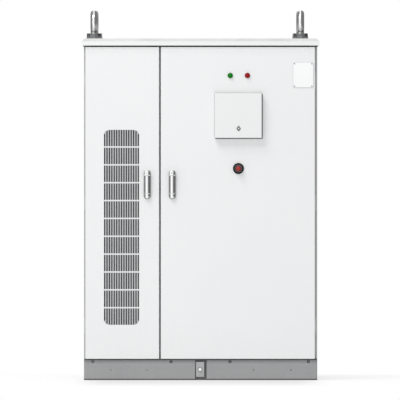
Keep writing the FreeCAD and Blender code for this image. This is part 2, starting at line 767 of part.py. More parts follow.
def grille_slots():
    """Punched slots in rows, shortened at the four corners to follow the rounded outline."""
    slots = []
    low, high = grille_z
    row_pitch = (high - low + web_height) / grille_rows
    half_span = (grille_columns - 1) * slot_pitch / 2
    outline_half = half_span + slot_width / 2
    for column in range(grille_columns):
        offset = -half_span + column * slot_pitch
        from_side = outline_half - abs(offset)
        shortening = 0.0
        if from_side < grille_corner:
            shortening = grille_corner - math.sqrt(grille_corner ** 2 - (grille_corner - from_side) ** 2)
        x = grille_centre_x + offset
        for row in range(grille_rows):
            bottom = low + row * row_pitch
            top = bottom + row_pitch - web_height
            if row == 0:
                bottom += shortening
            if row == grille_rows - 1:
                top -= shortening
            slots.append(block((x - slot_width / 2, x + slot_width / 2), skin_cut, (bottom, top)))
    return slots


def door_shell(x):
    """Folded outer pan of a door, with softened front edges."""
    shell = pan(x, (front_y, door_back_y), (door_bottom, door_top), 3.0, "back")
    return shell.makeFillet(1.2, edges_at(shell, along_y, front_y))


def left_door_shell():
    handle_hole = rod_along_y(handle_x["left"], skin_cut, hub_z, neck_radius + 0.3)
    shell = door_shell(left_door_x).cut(handle_hole)
    save("left_door_shell", shell.cut(Part.makeCompound(grille_slots())))


def right_door_shell():
    """The wide door's pan, with holes for its handle, stop button, screen and lamps."""
    screen_window = block((screen_x[0] + 12, screen_x[1] - 12), skin_cut,
                          (screen_z[0] + 12, screen_z[1] - 12))
    cuts = [rod_along_y(handle_x["right"], skin_cut, hub_z, neck_radius + 0.3),
            rod_along_y(stop_x, skin_cut, stop_z, stop_neck_radius + 0.5), screen_window]
    for x in lamp_x.values():
        cuts.append(rod_along_y(x, skin_cut, lamp_z, lamp_body_radius + 0.2))
    save("right_door_shell", door_shell(right_door_x).cut(Part.makeCompound(cuts)))


def rod_guides(side, hand):
    """Bridges on the door's liner that keep the lock rods straight."""
    guides = []
    for direction in (-1, 1):
        x = handle_x[side] + direction * hand * rod_offset
        for distance in guide_distances:
            z = hub_z + direction * distance
            bridge = block((x - 14, x + 14), (door_back_y, rod_y[1] + 3.5), (z - 8, z + 8))
            outer_edges = [e for e in edges_along(bridge, along_z) if e.BoundBox.YMin > door_back_y + 1]
            bridge = bridge.makeFillet(4.0, outer_edges)
            opening = block((x - rod_width / 2 - 0.5, x + rod_width / 2 + 0.5),
                            (rod_y[0] - 0.5, rod_y[1] + 0.5), (z - 9, z + 9))
            guides.append(bridge.cut(opening))
    return guides


def stiffener(x, z):
    """Pressed hat rib across the inside of a door liner."""
    points = [Vector(x[0], door_back_y, z - 22), Vector(x[0], door_back_y + 7, z - 14),
              Vector(x[0], door_back_y + 7, z + 14), Vector(x[0], door_back_y, z + 22)]
    return prism(points, along_x * (x[1] - x[0]))


def door_liner(side, hand, door_x, rib_x, rib_heights):
    """Inner sheet of a door, with its ribs and the guides of its lock rods."""
    y = (door_back_y - sheet, door_back_y)
    plate = block((door_x[0] + sheet, door_x[1] - sheet), y, (door_bottom + sheet, door_top - sheet))
    plate = round_along(plate, along_y, 1.0)
    plate = plate.cut(rod_along_y(handle_x[side], (y[0] - 1, y[1] + 1), hub_z, neck_radius + 0.3))
    ribs = [stiffener(rib_x, z) for z in rib_heights]
    return plate.fuse(ribs + rod_guides(side, hand)).removeSplitter()


def left_door_liner():
    liner = door_liner("left", -1, left_door_x, (-630.0, -352.0), (230.0, 1700.0))
    air_way = block(filter_window_x, (door_back_y - 5, door_back_y + 1), filter_window_z)
    save("left_door_liner", liner.cut(round_along(air_way, along_y, 20.0)))


def right_door_liner():
    rib_heights = (420.0, 1000.0, 1400.0, 1880.0)
    save("right_door_liner", door_liner("right", 1, right_door_x, (-100.0, 620.0), rib_heights))


def air_filter():
    """Filter panel behind the grille: a frame round a pleated sheet."""
    x = (filter_window_x[0] - 10, filter_window_x[1] + 7)
    z = (filter_window_z[0] - 12, filter_window_z[1] + 12)
    y = (door_back_y, door_back_y + 11)
    frame = round_along(block(x, y, z), along_y, 12.0)
    window_x = (x[0] + 14, x[1] - 14)
    frame = frame.cut(block(window_x, (y[0] - 1, y[1] + 1), (z[0] + 14, z[1] - 14)))
    pleat_count = 16
    pitch = (window_x[1] - window_x[0]) / pleat_count
    front_edge, back_edge = [], []
    for step in range(2 * pleat_count + 1):
        place = window_x[0] + step * pitch / 2
        depth = y[0] + 1.5 if step % 2 == 0 else y[1] - 3.0
        front_edge.append(Vector(place, depth, z[0] + 14))
        back_edge.append(Vector(place, depth + 1.5, z[0] + 14))
    pleats = prism(front_edge + back_edge[::-1], along_z * (z[1] - z[0] - 28))
    save("air_filter", frame.fuse(pleats).removeSplitter())


def handle_base(side):
    """Rounded base plate with its lock block and the neck that clamps it through the door."""
    x = handle_x[side]
    half = handle_width / 2
    face = front_y - handle_base_depth
    plate = round_along(block((x - half, x + half), (face, front_y), handle_z), along_y, 19.0)
    plate = plate.makeFillet(2.0, edges_at(plate, along_y, face))
    block_front = face - lock_block_depth
    lock_block = block((x - 17, x + 17), (block_front, face), (button_z - 12, handle_z[1] - 2))
    lock_block = round_along(lock_block, along_y, 4.0)
    lock_block = lock_block.makeFillet(3.0, edges_at(lock_block, along_y, block_front))
    neck = rod_along_y(x, (front_y, door_back_y + 0.5), hub_z, neck_radius)
    nut = hexagon_head(Vector(x, door_back_y, hub_z), along_y, 36.0, 5.0, 0)
    base = plate.fuse([lock_block, neck, nut])
    base = base.cut(rod_along_y(x, (face - 1, door_back_y + 10), hub_z, shaft_radius + running_gap))
    base = base.cut(rod_along_y(x, (face - 17, face - 1), button_z, button_radius + running_gap))
    save("%s_handle_base" % side, base.removeSplitter())


def lock_button(side):
    face = front_y - handle_base_depth - lock_block_depth
    profile = [(0.0, 0.0), (button_radius - 1, 0.0), (button_radius, 1.0), (button_radius, 12.0), (0.0, 12.0)]
    save("%s_lock_button" % side, turned(profile, Vector(handle_x[side], face - 1.5, button_z), along_y))


def handle_hub(side, hand):
    """Turning hub: a knuckle for the lever, the shaft through the door, and the crank with two pins."""
    x = handle_x[side]
    face = front_y - handle_base_depth
    disc = rod_along_y(x, (face - 6, face - 0.4), hub_z, hub_radius)
    disc = disc.makeFillet(1.5, edges_at(disc, along_y, face - 6))
    disc = disc.cut(block((x - 20, x + 20), (face - 8, face - 0.9), (tilt_z - 7.2, hub_z + 20)))
    lean = math.radians(lever_tilt)
    root = face - 1 - tilt_y
    near = (-tilt_knuckle_radius * math.cos(lean), -tilt_knuckle_radius * math.sin(lean))
    foot = (root, near[1] - (root - near[0]) / math.tan(lean))
    gusset = [near, foot, (root, 0), (0, tilt_knuckle_radius - 1)]
    lug = prism([Vector(x - 6, tilt_y + deep, tilt_z + rise) for deep, rise in gusset], along_x * 12)
    lug = lug.fuse(rod_along_x((x - 6, x + 6), tilt_y, tilt_z, tilt_knuckle_radius))
    shaft = rod_along_y(x, (face - 0.9, crank_y[0] + 1), hub_z, shaft_radius)
    crank = rod_along_y(x, crank_y, hub_z, crank_radius + 8)
    pieces = [lug, shaft, crank]
    throw = crank_radius * math.sin(math.pi / 4)
    for direction in (-1, 1):
        pieces.append(rod_along_y(x + direction * hand * throw, (crank_y[0], rod_y[1] + 1.5),
                                  hub_z + direction * throw, crank_pin_radius))
    hub = disc.fuse(pieces)
    hub = hub.cut(rod_along_x((x - 7, x + 7), tilt_y, tilt_z, tilt_pin_radius + running_gap))
    save("%s_handle_hub" % side, hub.removeSplitter())


def handle_lever(side):
    """Lever with a crowned front, a blind slot over the hub's knuckle and a tip that follows its swing."""
    x = handle_x[side]
    half = lever_width / 2
    front, back = lever_y
    z = (tilt_z - 6.5, hub_z + lever_reach)
    shoulder = front + lever_crown
    crown = Part.Arc(Vector(x - half, shoulder, z[0]), Vector(x, front, z[0]),
                     Vector(x + half, shoulder, z[0]))
    flanks = Part.makePolygon([Vector(x + half, shoulder, z[0]), Vector(x + half, back, z[0]),
                               Vector(x - half, back, z[0]), Vector(x - half, shoulder, z[0])])
    bar = Part.Face(Part.Wire([crown.toShape()] + flanks.Edges)).extrude(along_z * (z[1] - z[0]))
    rolled = block((x - half - 1, x + half + 1), lever_y, z)
    rolled = rolled.makeFillet(6.4, [e for e in edges_along(rolled, along_x) if e.BoundBox.ZMax < tilt_z])
    rolled = rolled.makeFillet(5.0, [e for e in edges_along(rolled, along_x)
                                     if e.BoundBox.ZMin > tilt_z and e.BoundBox.YMax < tilt_y])
    bar = bar.common(rolled).common(rod_along_y(x, (front - 1, back + 1), hub_z, lever_reach))
    bar = bar.cut(block((x - 6.6, x + 6.6), (tilt_y - tilt_knuckle_radius - 0.4, back + 1),
                        (z[0] - 1, tilt_z + 7)))
    pin = rod_along_x((x - half + 2, x + half - 2), tilt_y, tilt_z, tilt_pin_radius)
    save("%s_handle_lever" % side, bar.fuse(pin).removeSplitter())


def lock_rods(side, hand):
    """Flat rods, each with a cross slot at its inner end that rides on one crank pin."""
    throw = crank_radius * math.sin(math.pi / 4)
    slack = 0.8
    for direction, name, tip in ((1, "upper", rod_tips[1]), (-1, "lower", rod_tips[0])):
        across = direction * hand
        x = handle_x[side] + across * rod_offset
        pin_z = hub_z + direction * throw
        yoke_z = sorted((pin_z - direction * 11, pin_z + direction * 16))
        bar = block((x - rod_width / 2, x + rod_width / 2), rod_y, sorted((pin_z, tip)))
        tip_edges = [e for e in edges_along(bar, along_y) if abs(e.BoundBox.ZMin - tip) < 1]
        bar = bar.makeFillet(6.0, tip_edges)
        yoke = round_along(block((x - yoke_width / 2, x + yoke_width / 2), rod_y, yoke_z), along_y, 4.0)
        near = throw - crank_pin_radius - slack
        far = crank_radius + crank_pin_radius + slack
        slot_x = sorted((handle_x[side] + across * near, handle_x[side] + across * far))
        slot = block(slot_x, (rod_y[0] - 1, rod_y[1] + 1),
                     (pin_z - crank_pin_radius - slack, pin_z + crank_pin_radius + slack))
        save("%s_%s_rod" % (side, name), bar.fuse(yoke).cut(slot).removeSplitter())


def screen_frame():
    """Display housing set into the door, with a stepped window and two hinge lugs."""
    front = front_y - 12
    axis_y, axis_z = cover_axis
    rim = round_along(block(screen_x, (front, front_y), screen_z), along_y, 8.0)
    rim = rim.makeFillet(2.5, edges_at(rim, along_y, front))
    window = block((screen_x[0] + 28, screen_x[1] - 28), (front - 1, front + 4),
                   (screen_z[0] + 34, screen_z[1] - 30))
    housing = block((screen_x[0] + 14, screen_x[1] - 14), (front_y, door_back_y - 6),
                    (screen_z[0] + 14, screen_z[1] - 14))
    bridge = block((lug_x[0] - 3, lug_x[1] + 3), (front_y - 3, front_y),
                   (screen_z[1] - 8, axis_z + lug_radius))
    pieces = [housing, bridge]
    for x in lug_x:
        pieces.append(rod_along_x((x - 3, x + 3), axis_y, axis_z, lug_radius))
        pieces.append(block((x - 3, x + 3), (axis_y, front_y), (axis_z - lug_radius, axis_z + lug_radius)))
    frame = rim.cut(window).fuse(pieces)
    for x in lug_x:
        frame = frame.cut(rod_along_x((x - 4, x + 4), axis_y, axis_z, cover_pin_radius + running_gap))
    save("screen_frame", frame.removeSplitter())


def screen_cover():
    """Shallow lid with softened edges, hung on two pins near its top edge."""
    axis_y, axis_z = cover_axis
    outer = round_along(block(cover_x, (cover_front, cover_back), cover_z), along_y, 6.0)
    outer = outer.makeFillet(4.0, edges_at(outer, along_y, cover_front))
    inner = block((cover_x[0] + cover_wall, cover_x[1] - cover_wall),
                  (cover_front + cover_wall, cover_back + 1),
                  (cover_z[0] + cover_wall, cover_z[1] - cover_wall))
    cover = outer.cut(round_along(inner, along_y, 3.5))
    corner = block((cover_x[0] - 1, cover_x[1] + 1), (axis_y, cover_back + 1), (axis_z, cover_z[1] + 1))
    swing = rod_along_x((cover_x[0] - 2, cover_x[1] + 2), axis_y, axis_z, cover_corner_radius)
    cover = cover.cut(corner.cut(swing))
    for x in lug_x:
        cover = cover.cut(block((x - 4, x + 4), (axis_y - 9, cover_back + 1),
                                (axis_z + lug_radius + 0.1, cover_z[1] + 1)))
    cover = cover.cut(rod_along_y(lock_x, (cover_front - 1, cover_front + 4), lock_z, 8.0))
    pins = [rod_along_x((cover_x[0] + 1, lug_x[0] + 3), axis_y, axis_z, cover_pin_radius),
            rod_along_x((lug_x[1] - 3, cover_x[1] - 1), axis_y, axis_z, cover_pin_radius)]
    save("screen_cover", cover.fuse(pins).removeSplitter())


def cover_lock():
    """Diamond bezel fixed to the cover, and the quarter-turn core with its latch tongue."""
    front = cover_front - 3
    core_radius = 6.0
    outline = ((-13.0, 0.0), (0.0, -16.5), (13.0, 0.0), (0.0, 16.5))
    bezel = prism([Vector(lock_x + run, cover_front, lock_z + rise) for run, rise in outline], outward * 3)
    bezel = bezel.makeChamfer(1.2, edges_at(bezel, along_y, front))
    bezel = bezel.fuse(rod_along_y(lock_x, (cover_front, cover_front + 5), lock_z, 7.9))
    bezel = bezel.cut(rod_along_y(lock_x, (front - 1, cover_front + 6), lock_z, core_radius + running_gap))
    save("cover_lock_bezel", bezel.removeSplitter())
    core = turned([(0.0, 0.0), (5.4, 0.0), (core_radius, 0.6), (core_radius, 12.0), (0.0, 12.0)],
                  Vector(lock_x, front - 0.6, lock_z), along_y)
    key_slot = block((lock_x - 0.9, lock_x + 0.9), (front - 1, front + 1.4), (lock_z - 4.2, lock_z + 4.2))
    tongue = block((lock_x - 6, lock_x + 6), (front + 9.4, front + 12.4), (lock_z - 26, lock_z + 6))
    core = core.cut(key_slot).fuse(round_along(tongue, along_y, 4.0))
    save("cover_lock", core.removeSplitter())


def lamp(colour):
    """Indicator lamp: a bezel, a domed lens and the body behind the door skin."""
    profile = [(0.0, 14.5), (6.0, 13.8), (10.5, 11.5), (13.0, 8.0), (13.2, 4.5), (lamp_radius, 4.0),
               (lamp_radius, 0.0), (lamp_body_radius, 0.0), (lamp_body_radius, -26.0), (0.0, -26.0)]
    save("%s_lamp" % colour, turned(profile, Vector(lamp_x[colour], front_y, lamp_z), outward))


def emergency_stop():
    """Collar on the door, a stem that is pushed in, and a head that twists on the stem."""
    centre = Vector(stop_x, front_y, stop_z)
    bore = stem_radius + running_gap
    collar = turned([(bore, -22.0), (stop_neck_radius, -22.0), (stop_neck_radius, 0.0), (stop_radius, 0.0),
                     (stop_radius, 5.0), (30.0, 8.0), (24.0, 9.0), (22.5, 16.0), (20.0, 18.0), (18.0, 18.0),
                     (18.0, 7.0), (bore, 7.0)], centre, outward)
    save("stop_collar", collar)
    peg_radius = 5.0
    stem = turned([(0.0, -18.0), (stem_radius, -18.0), (stem_radius, 14.7), (peg_radius, 14.7),
                   (peg_radius, 22.0), (0.0, 22.0)], centre, outward)
    save("stop_stem", stem)
    peg_bore = peg_radius + running_gap
    head = turned([(peg_bore, 15.0), (14.0, 15.0), (15.0, 18.0), (15.0, 26.0), (13.0, 30.0), (8.0, 32.5),
                   (0.0, 33.2), (0.0, 22.5), (peg_bore, 22.5)], centre, outward)
    save("stop_head", head)


def build():
    os.makedirs("parts", exist_ok=True)
    plinth_frame()
    plinth_cover(-1)
    plinth_cover(1)
    plinth_centre_plate()
    case_bolts()
    floor_pan()
    cable_glands()
    corner_posts()
    centre_post()
    cross_rails()
    side_panel(-1)
    side_panel(1)
    rear_panel()
    bay_partition()
    roof_cap()
    lifting_gear()
    for number in range(1, pack_count + 1):
        battery_pack(number)
    battery_rack()
    high_voltage_box()
    main_switch_lever()
    cooling_unit_case()
    for place in fan_z:
        fan(place)
    cooling_coil()
    fire_canister()
    door_seals()
    hinge_frame_leaves()
    hinge_door_leaves("left_hinge_leaves", -1)
    hinge_door_leaves("right_hinge_leaves", 1)
    left_door_shell()
    right_door_shell()
    left_door_liner()
    right_door_liner()
    air_filter()
    for side, hand in handed.items():
        handle_base(side)
        lock_button(side)
        handle_hub(side, hand)
        handle_lever(side)
        lock_rods(side, hand)
    screen_frame()
    screen_cover()
    cover_lock()
    for colour in lamp_x:
        lamp(colour)
    emergency_stop()


build()
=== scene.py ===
import math

import bmesh
import bpy
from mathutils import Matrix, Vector


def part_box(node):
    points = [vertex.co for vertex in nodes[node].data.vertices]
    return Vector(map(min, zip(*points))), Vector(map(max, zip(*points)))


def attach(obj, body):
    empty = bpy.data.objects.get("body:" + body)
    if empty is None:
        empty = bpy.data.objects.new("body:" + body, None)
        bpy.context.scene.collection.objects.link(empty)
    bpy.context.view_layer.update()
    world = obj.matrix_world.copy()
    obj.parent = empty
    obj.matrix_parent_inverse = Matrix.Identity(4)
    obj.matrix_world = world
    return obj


# Outdoor battery cabinet with two doors, in metres. The front faces -Y and +Z is up.

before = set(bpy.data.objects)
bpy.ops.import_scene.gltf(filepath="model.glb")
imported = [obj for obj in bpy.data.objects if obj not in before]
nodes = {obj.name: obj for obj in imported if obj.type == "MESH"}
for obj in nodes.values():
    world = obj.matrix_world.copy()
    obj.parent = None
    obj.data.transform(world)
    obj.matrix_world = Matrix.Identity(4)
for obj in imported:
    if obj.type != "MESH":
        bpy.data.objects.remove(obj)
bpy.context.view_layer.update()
scene = bpy.context.scene
alongX = Vector((1, 0, 0))
alongY = Vector((0, 1, 0))
alongZ = Vector((0, 0, 1))
outward = Vector((0, -1, 0))
print("frame:", len(nodes), "nodes")


# Node tree helpers

mottleRange = (0.3, 0.7)  # most of a noise lies between these


def feed(tree, node, entries):
    # an entry takes a plain value, or a (node, output) pair to link from
    for name, value in entries.items():
        if isinstance(value, tuple) and isinstance(value[0], bpy.types.Node):
            tree.links.new(value[0].outputs[value[1]], node.inputs[name])
        else:
            node.inputs[name].default_value = value


def addNode(tree, kind, entries=None, **settings):
    node = tree.nodes.new(kind)
    for name, value in settings.items():
        setattr(node, name, value)
    feed(tree, node, entries or {})
    return node


def calculate(tree, operation, first, second, clamp=False):
    node = addNode(tree, "ShaderNodeMath", {0: first, 1: second}, operation=operation, use_clamp=clamp)
    return node, "Value"


def remap(tree, source, start, end, low=0.0, high=1.0, soft=False):
    entries = {"Value": source, "From Min": start, "From Max": end, "To Min": low, "To Max": high}
    curve = "SMOOTHSTEP" if soft else "LINEAR"
    return addNode(tree, "ShaderNodeMapRange", entries, interpolation_type=curve), "Result"


def ownPlace(tree):
    return addNode(tree, "ShaderNodeTexCoord"), "Object"


def partsOf(tree, output):
    # X, Y and Z of a piece's own Normal or Object place
    place = addNode(tree, "ShaderNodeTexCoord")
    return addNode(tree, "ShaderNodeSeparateXYZ", {"Vector": (place, output)})


def distanceOutside(tree, place, halfSize):
    # how far a place lies outside a box around the middle
    mirrored = addNode(tree, "ShaderNodeVectorMath", {0: place}, operation="ABSOLUTE")
    beyond = addNode(tree, "ShaderNodeVectorMath", {0: (mirrored, "Vector"), 1: halfSize},
                     operation="SUBTRACT")
    outside = addNode(tree, "ShaderNodeVectorMath", {0: (beyond, "Vector"), 1: (0.0, 0.0, 0.0)},
                      operation="MAXIMUM")
    return addNode(tree, "ShaderNodeVectorMath", {0: (outside, "Vector")}, operation="LENGTH"), "Value"


def newGroup(name, entries, exits):
    # an entry's first value makes its socket: three numbers for a vector, one for a float
    group = bpy.data.node_groups.new(name, "ShaderNodeTree")
    for title, value in entries.items():
        kind = "NodeSocketVector" if isinstance(value, tuple) else "NodeSocketFloat"
        socket = group.interface.new_socket(name=title, in_out="INPUT", socket_type=kind)
        socket.default_value = value
    for title in exits:
        kind = "NodeSocketVector" if title == "Normal" else "NodeSocketFloat"
        group.interface.new_socket(name=title, in_out="OUTPUT", socket_type=kind)
    return group, addNode(group, "NodeGroupInput")


def fineTextureGroup():
    # grain of a powder coat or a moulding, with a slow mottle over it
    group, given = newGroup("fineTexture", {"Grain Scale": 600.0, "Relief": 0.1, "Mottle Scale": 3.0},
                            ("Normal", "Mottle"))
    place = ownPlace(group)
    grain = addNode(group, "ShaderNodeTexNoise", {"Vector": place, "Scale": (given, "Grain Scale"),
                                                  "Detail": 2.0, "Roughness": 0.5})
    mottle = addNode(group, "ShaderNodeTexNoise", {"Vector": place, "Scale": (given, "Mottle Scale"),
                                                   "Detail": 4.0, "Roughness": 0.6, "Distortion": 0.3})
    bump = addNode(group, "ShaderNodeBump", {"Strength": (given, "Relief"), "Distance": 0.0004,
                                             "Height": (grain, "Fac")})
    addNode(group, "NodeGroupOutput", {"Normal": (bump, "Normal"), "Mottle": (mottle, "Fac")})
    return group


def dustGroup():
    # faces turned up take dust that is partly painted shade, and splashed dirt lies just above the ground
    group, given = newGroup("dustAndTopShade", {"Top Dust And Shade": 0.5, "Splash": 0.2, "Splash Height": 0.25}, ("Mask",))
    patches = addNode(group, "ShaderNodeTexNoise", {"Vector": ownPlace(group), "Scale": 7.0, "Detail": 5.0,
                                                    "Roughness": 0.65})
    turnedUp = remap(group, (partsOf(group, "Normal"), "Z"), start=0.3, end=0.8)
    uneven = remap(group, (patches, "Fac"), *mottleRange, low=0.75)
    lying = calculate(group, "MULTIPLY", turnedUp, uneven)
    topDustAndShade = calculate(group, "MULTIPLY", lying, (given, "Top Dust And Shade"))
    nearGround = remap(group, (partsOf(group, "Object"), "Z"), start=0.0, end=(given, "Splash Height"),
                       low=1.0, high=0.0, soft=True)
    thrown = calculate(group, "MULTIPLY", nearGround, (patches, "Fac"))
    splash = calculate(group, "MULTIPLY", thrown, (given, "Splash"))
    addNode(group, "NodeGroupOutput", {"Mask": calculate(group, "ADD", topDustAndShade, splash, clamp=True)})
    return group


def brushGroup():
    # streaks left by brushing or turning, drawn out along one direction
    group, given = newGroup("brushLines", {"Stretch": (1.0, 1.0, 1.0), "Relief": 0.1}, ("Normal", "Streaks"))
    drawn = addNode(group, "ShaderNodeVectorMath", {0: ownPlace(group), 1: (given, "Stretch")},
                    operation="MULTIPLY")
    streaks = addNode(group, "ShaderNodeTexNoise", {"Vector": (drawn, "Vector"), "Scale": 1.0, "Detail": 4.0,
                                                    "Roughness": 0.7})
    bump = addNode(group, "ShaderNodeBump", {"Strength": (given, "Relief"), "Distance": 0.0002,
                                             "Height": (streaks, "Fac")})
    addNode(group, "NodeGroupOutput", {"Normal": (bump, "Normal"), "Streaks": (streaks, "Fac")})
    return group


def wearGroup():
    # rubbed outer edges of small pieces
    group, given = newGroup("edgeWear", {"Amount": 0.5}, ("Mask",))
    shape = addNode(group, "ShaderNodeNewGeometry")
    scratches = addNode(group, "ShaderNodeTexNoise", {"Vector": ownPlace(group), "Scale": 90.0, "Detail": 3.0,
                                                      "Roughness": 0.6})
    edge = remap(group, (shape, "Pointiness"), start=0.52, end=0.62)
    broken = remap(group, (scratches, "Fac"), start=0.4, end=0.65)
    worn = calculate(group, "MULTIPLY", edge, broken)
    mask = calculate(group, "MULTIPLY", worn, (given, "Amount"), clamp=True)
    addNode(group, "NodeGroupOutput", {"Mask": mask})
    return group


def flankGroup():
    # faces turned away to the left or right, told by their own normals, for a painted reflection: dark flanks
    # beside a bright middle
    limits = {"Left From": -0.4, "Left To": -0.6, "Right From": 0.4, "Right To": 0.6}
    group, given = newGroup("paintedFlankShade", limits, ("Mask",))
    facing = partsOf(group, "Normal")
    left = remap(group, (facing, "X"), (given, "Left From"), (given, "Left To"))
    right = remap(group, (facing, "X"), (given, "Right From"), (given, "Right To"))
    addNode(group, "NodeGroupOutput", {"Mask": calculate(group, "MAXIMUM", left, right)})
    return group


def rimGroup():
    # rounded edges of the front sheets: painted highlight on the white coat, painted shade on the cover and
    # plate the normal's Y goes from -1 on the front to 0 on their sides
    # Below is the share of the painted rim colour that lower edges keep
    group, given = newGroup("paintedRimLightAndShade", {"Below": 1.0}, ("Mask",))
    facing = partsOf(group, "Normal")
    offFront = remap(group, (facing, "Y"), start=-0.995, end=-0.93)
    offSide = remap(group, (facing, "Y"), start=-0.15, end=-0.3)
    upper = remap(group, (facing, "Z"), start=-0.3, end=-0.15, low=(given, "Below"))
    both = calculate(group, "MULTIPLY", offFront, offSide)
    addNode(group, "NodeGroupOutput", {"Mask": calculate(group, "MULTIPLY", both, upper, clamp=True)})
    return group


def heightGroup():
    # a mask that grows between two heights above the ground, for bands of painted shade and painted light
    group, given = newGroup("heightShade", {"Clear": 0.1, "Full": 0.12}, ("Mask",))
    height = partsOf(group, "Object")
    shade = remap(group, (height, "Z"), (given, "Clear"), (given, "Full"), soft=True)
    addNode(group, "NodeGroupOutput", {"Mask": shade})
    return group


fineTexture = fineTextureGroup()
dustAndTopShade = dustGroup()
brushLines = brushGroup()
edgeWear = wearGroup()
paintedFlankShade = flankGroup()
paintedRimLightAndShade = rimGroup()
heightShade = heightGroup()
print("node groups:", len(bpy.data.node_groups))


# Finishes

# faces turned to the front take a painted shade on some finishes
frontShadeTurn = (-0.25, -0.6)  # Y of the normal where a face begins to face the front, and where it does
# a lens's rim takes a painted shade between these normal Y values
lensRimShadeTurn = (-0.35, -0.95)  # the same, from a lens's rim to its front
lensRoughness = (0.14, 0.24)
coatSpread = 0.04  # how far a coat's roughness strays to either side
streakSpread = (0.75, 1.3)  # roughness of polished and of dull streaks, as shares of a metal's own


def newMaterial(name):
    material = bpy.data.materials.new(name)
    material.use_nodes = True
    tree = material.node_tree
    return material, tree, tree.nodes["Principled BSDF"]


def placeGroup(tree, group, entries):
    return addNode(tree, "ShaderNodeGroup", entries, node_tree=group)


def mixColour(tree, factor, first, second):
    # first and second are each a colour or a (node, output) pair
    # the node takes its colours at 6 and 7 and gives the mixed one at 2
    entries = {0: factor}
    for number, value in ((6, first), (7, second)):
        entries[number] = value if isinstance(value[0], bpy.types.Node) else (*value, 1)
    return addNode(tree, "ShaderNodeMix", entries, data_type="RGBA"), 2


def shadedBars(tree, plan, body):
    # painted shade on the bars of the punched grille and on the webs between its rows, inside its rounded
    # outline
    lowX, highX = plan["x"]
    lowZ, highZ = plan["z"]
    corner = plan["corner"]
    middle = ((lowX + highX) / 2, 0.0, (lowZ + highZ) / 2)
    centred = addNode(tree, "ShaderNodeVectorMath", {0: ownPlace(tree), 1: middle}, operation="SUBTRACT")
    halfSize = ((highX - lowX) / 2 - corner, plan["depth"], (highZ - lowZ) / 2 - corner)
    inside = calculate(tree, "LESS_THAN", distanceOutside(tree, (centred, "Vector"), halfSize), corner)
    lifted = calculate(tree, "SUBTRACT", (partsOf(tree, "Object"), "Z"), lowZ)
    step = calculate(tree, "MODULO", lifted, plan["pitch"])
    slotted = calculate(tree, "LESS_THAN", step, plan["pitch"] - plan["web"])
    webs = mixColour(tree, inside, body, plan["paintedWebShade"])
    return mixColour(tree, calculate(tree, "MULTIPLY", inside, slotted), webs, plan["colour"])


def coatMaterial(name, look):
    # paint, powder coat or moulded plastic: grain, mottle, dust that is partly painted shade, and rubbed
    # edges
    # where a finish gives them: painted highlight and shade on rims, front faces, grille bars and height
    # bands
    material, tree, shader = newMaterial(name)
    texture = placeGroup(tree, fineTexture, {"Grain Scale": look["grainScale"], "Relief": look["relief"],
                                             "Mottle Scale": look.get("mottleScale", 3.0)})
    body = mixColour(tree, remap(tree, (texture, "Mottle"), *mottleRange), look["colour"], look["shade"])
    if look.get("wear"):
        wear = placeGroup(tree, edgeWear, {"Amount": look["wear"]})
        body = mixColour(tree, (wear, "Mask"), body, look["wearColour"])
    # the rounded rims take the finish's painted rim colour: painted highlight where lighter, painted shade
    # where darker
    if look.get("paintedRimColour"):
        rim = placeGroup(tree, paintedRimLightAndShade, {"Below": look.get("paintedRimBelow", 1.0)})
        body = mixColour(tree, (rim, "Mask"), body, look["paintedRimColour"])
    # faces turned to the front get the finish's painted shade colour
    if look.get("paintedFrontFaceShade"):
        paintedFrontShadeMask = remap(tree, (partsOf(tree, "Normal"), "Y"), *frontShadeTurn)
        body = mixColour(tree, paintedFrontShadeMask, body, look["paintedFrontFaceShade"])
    # the grille's bars and webs take painted shade
    if look.get("paintedBarShade"):
        body = shadedBars(tree, look["paintedBarShade"], body)
    # bands by height: painted shade, painted light, and a darker bottom edge, as the finish gives
    for clear, full, colour in look.get("paintedHeightBands", ()):
        shade = placeGroup(tree, heightShade, {"Clear": clear, "Full": full})
        body = mixColour(tree, (shade, "Mask"), body, colour)
    # faces turned up darken with dust and painted shade; splashed dirt lies just above the ground
    dustAndShade = placeGroup(tree, dustAndTopShade, {"Top Dust And Shade": look.get("topDustAndShade", 0.0), "Splash": look.get("splash", 0.0),
                                          "Splash Height": look.get("splashHeight", 0.25)})
    dustedAndShaded = mixColour(tree, (dustAndShade, "Mask"), body, look.get("dustAndShadeColour", (0.55, 0.54, 0.52)))
    rough = remap(tree, (texture, "Mottle"), *mottleRange, low=look["roughness"] - coatSpread,
                  high=look["roughness"] + coatSpread)
    feed(tree, shader, {"Base Color": dustedAndShaded, "Roughness": rough, "Normal": (texture, "Normal"),
                        "Specular IOR Level": look.get("specular", 0.5), "Coat Weight": look.get("coat", 0.0),
                        "Coat Roughness": 0.1})
    return material


def metalMaterial(name, look):
    # bare or plated metal: streaks, slight tarnish and brighter rubbed edges, and on polished pieces a
    # painted reflection of dark flanks
    material, tree, shader = newMaterial(name)
    brush = placeGroup(tree, brushLines, {"Stretch": look["stretch"], "Relief": look["relief"]})
    texture = placeGroup(tree, fineTexture, {"Mottle Scale": 25.0})
    wear = placeGroup(tree, edgeWear, {"Amount": look.get("wear", 0.5)})
    body = mixColour(tree, remap(tree, (texture, "Mottle"), *mottleRange), look["colour"], look["shade"])
    body = mixColour(tree, (wear, "Mask"), body, look.get("wearColour", look["colour"]))
    # dark flanks as painted reflection, leaving a painted highlight band down the middle
    if look.get("paintedFlankShadeColour"):
        low, high = look["paintedHighlightBand"]
        soft = look["bandSoftness"]
        flanks = placeGroup(tree, paintedFlankShade, {"Left From": low, "Left To": low - soft, "Right From": high,
                                                 "Right To": high + soft})
        body = mixColour(tree, (flanks, "Mask"), body, look["paintedFlankShadeColour"])
    polished, dull = [look["roughness"] * share for share in streakSpread]
    rough = remap(tree, (brush, "Streaks"), *mottleRange, low=polished, high=dull)
    feed(tree, shader, {"Base Color": body, "Roughness": rough, "Normal": (brush, "Normal"), "Metallic": 1.0})
    return material


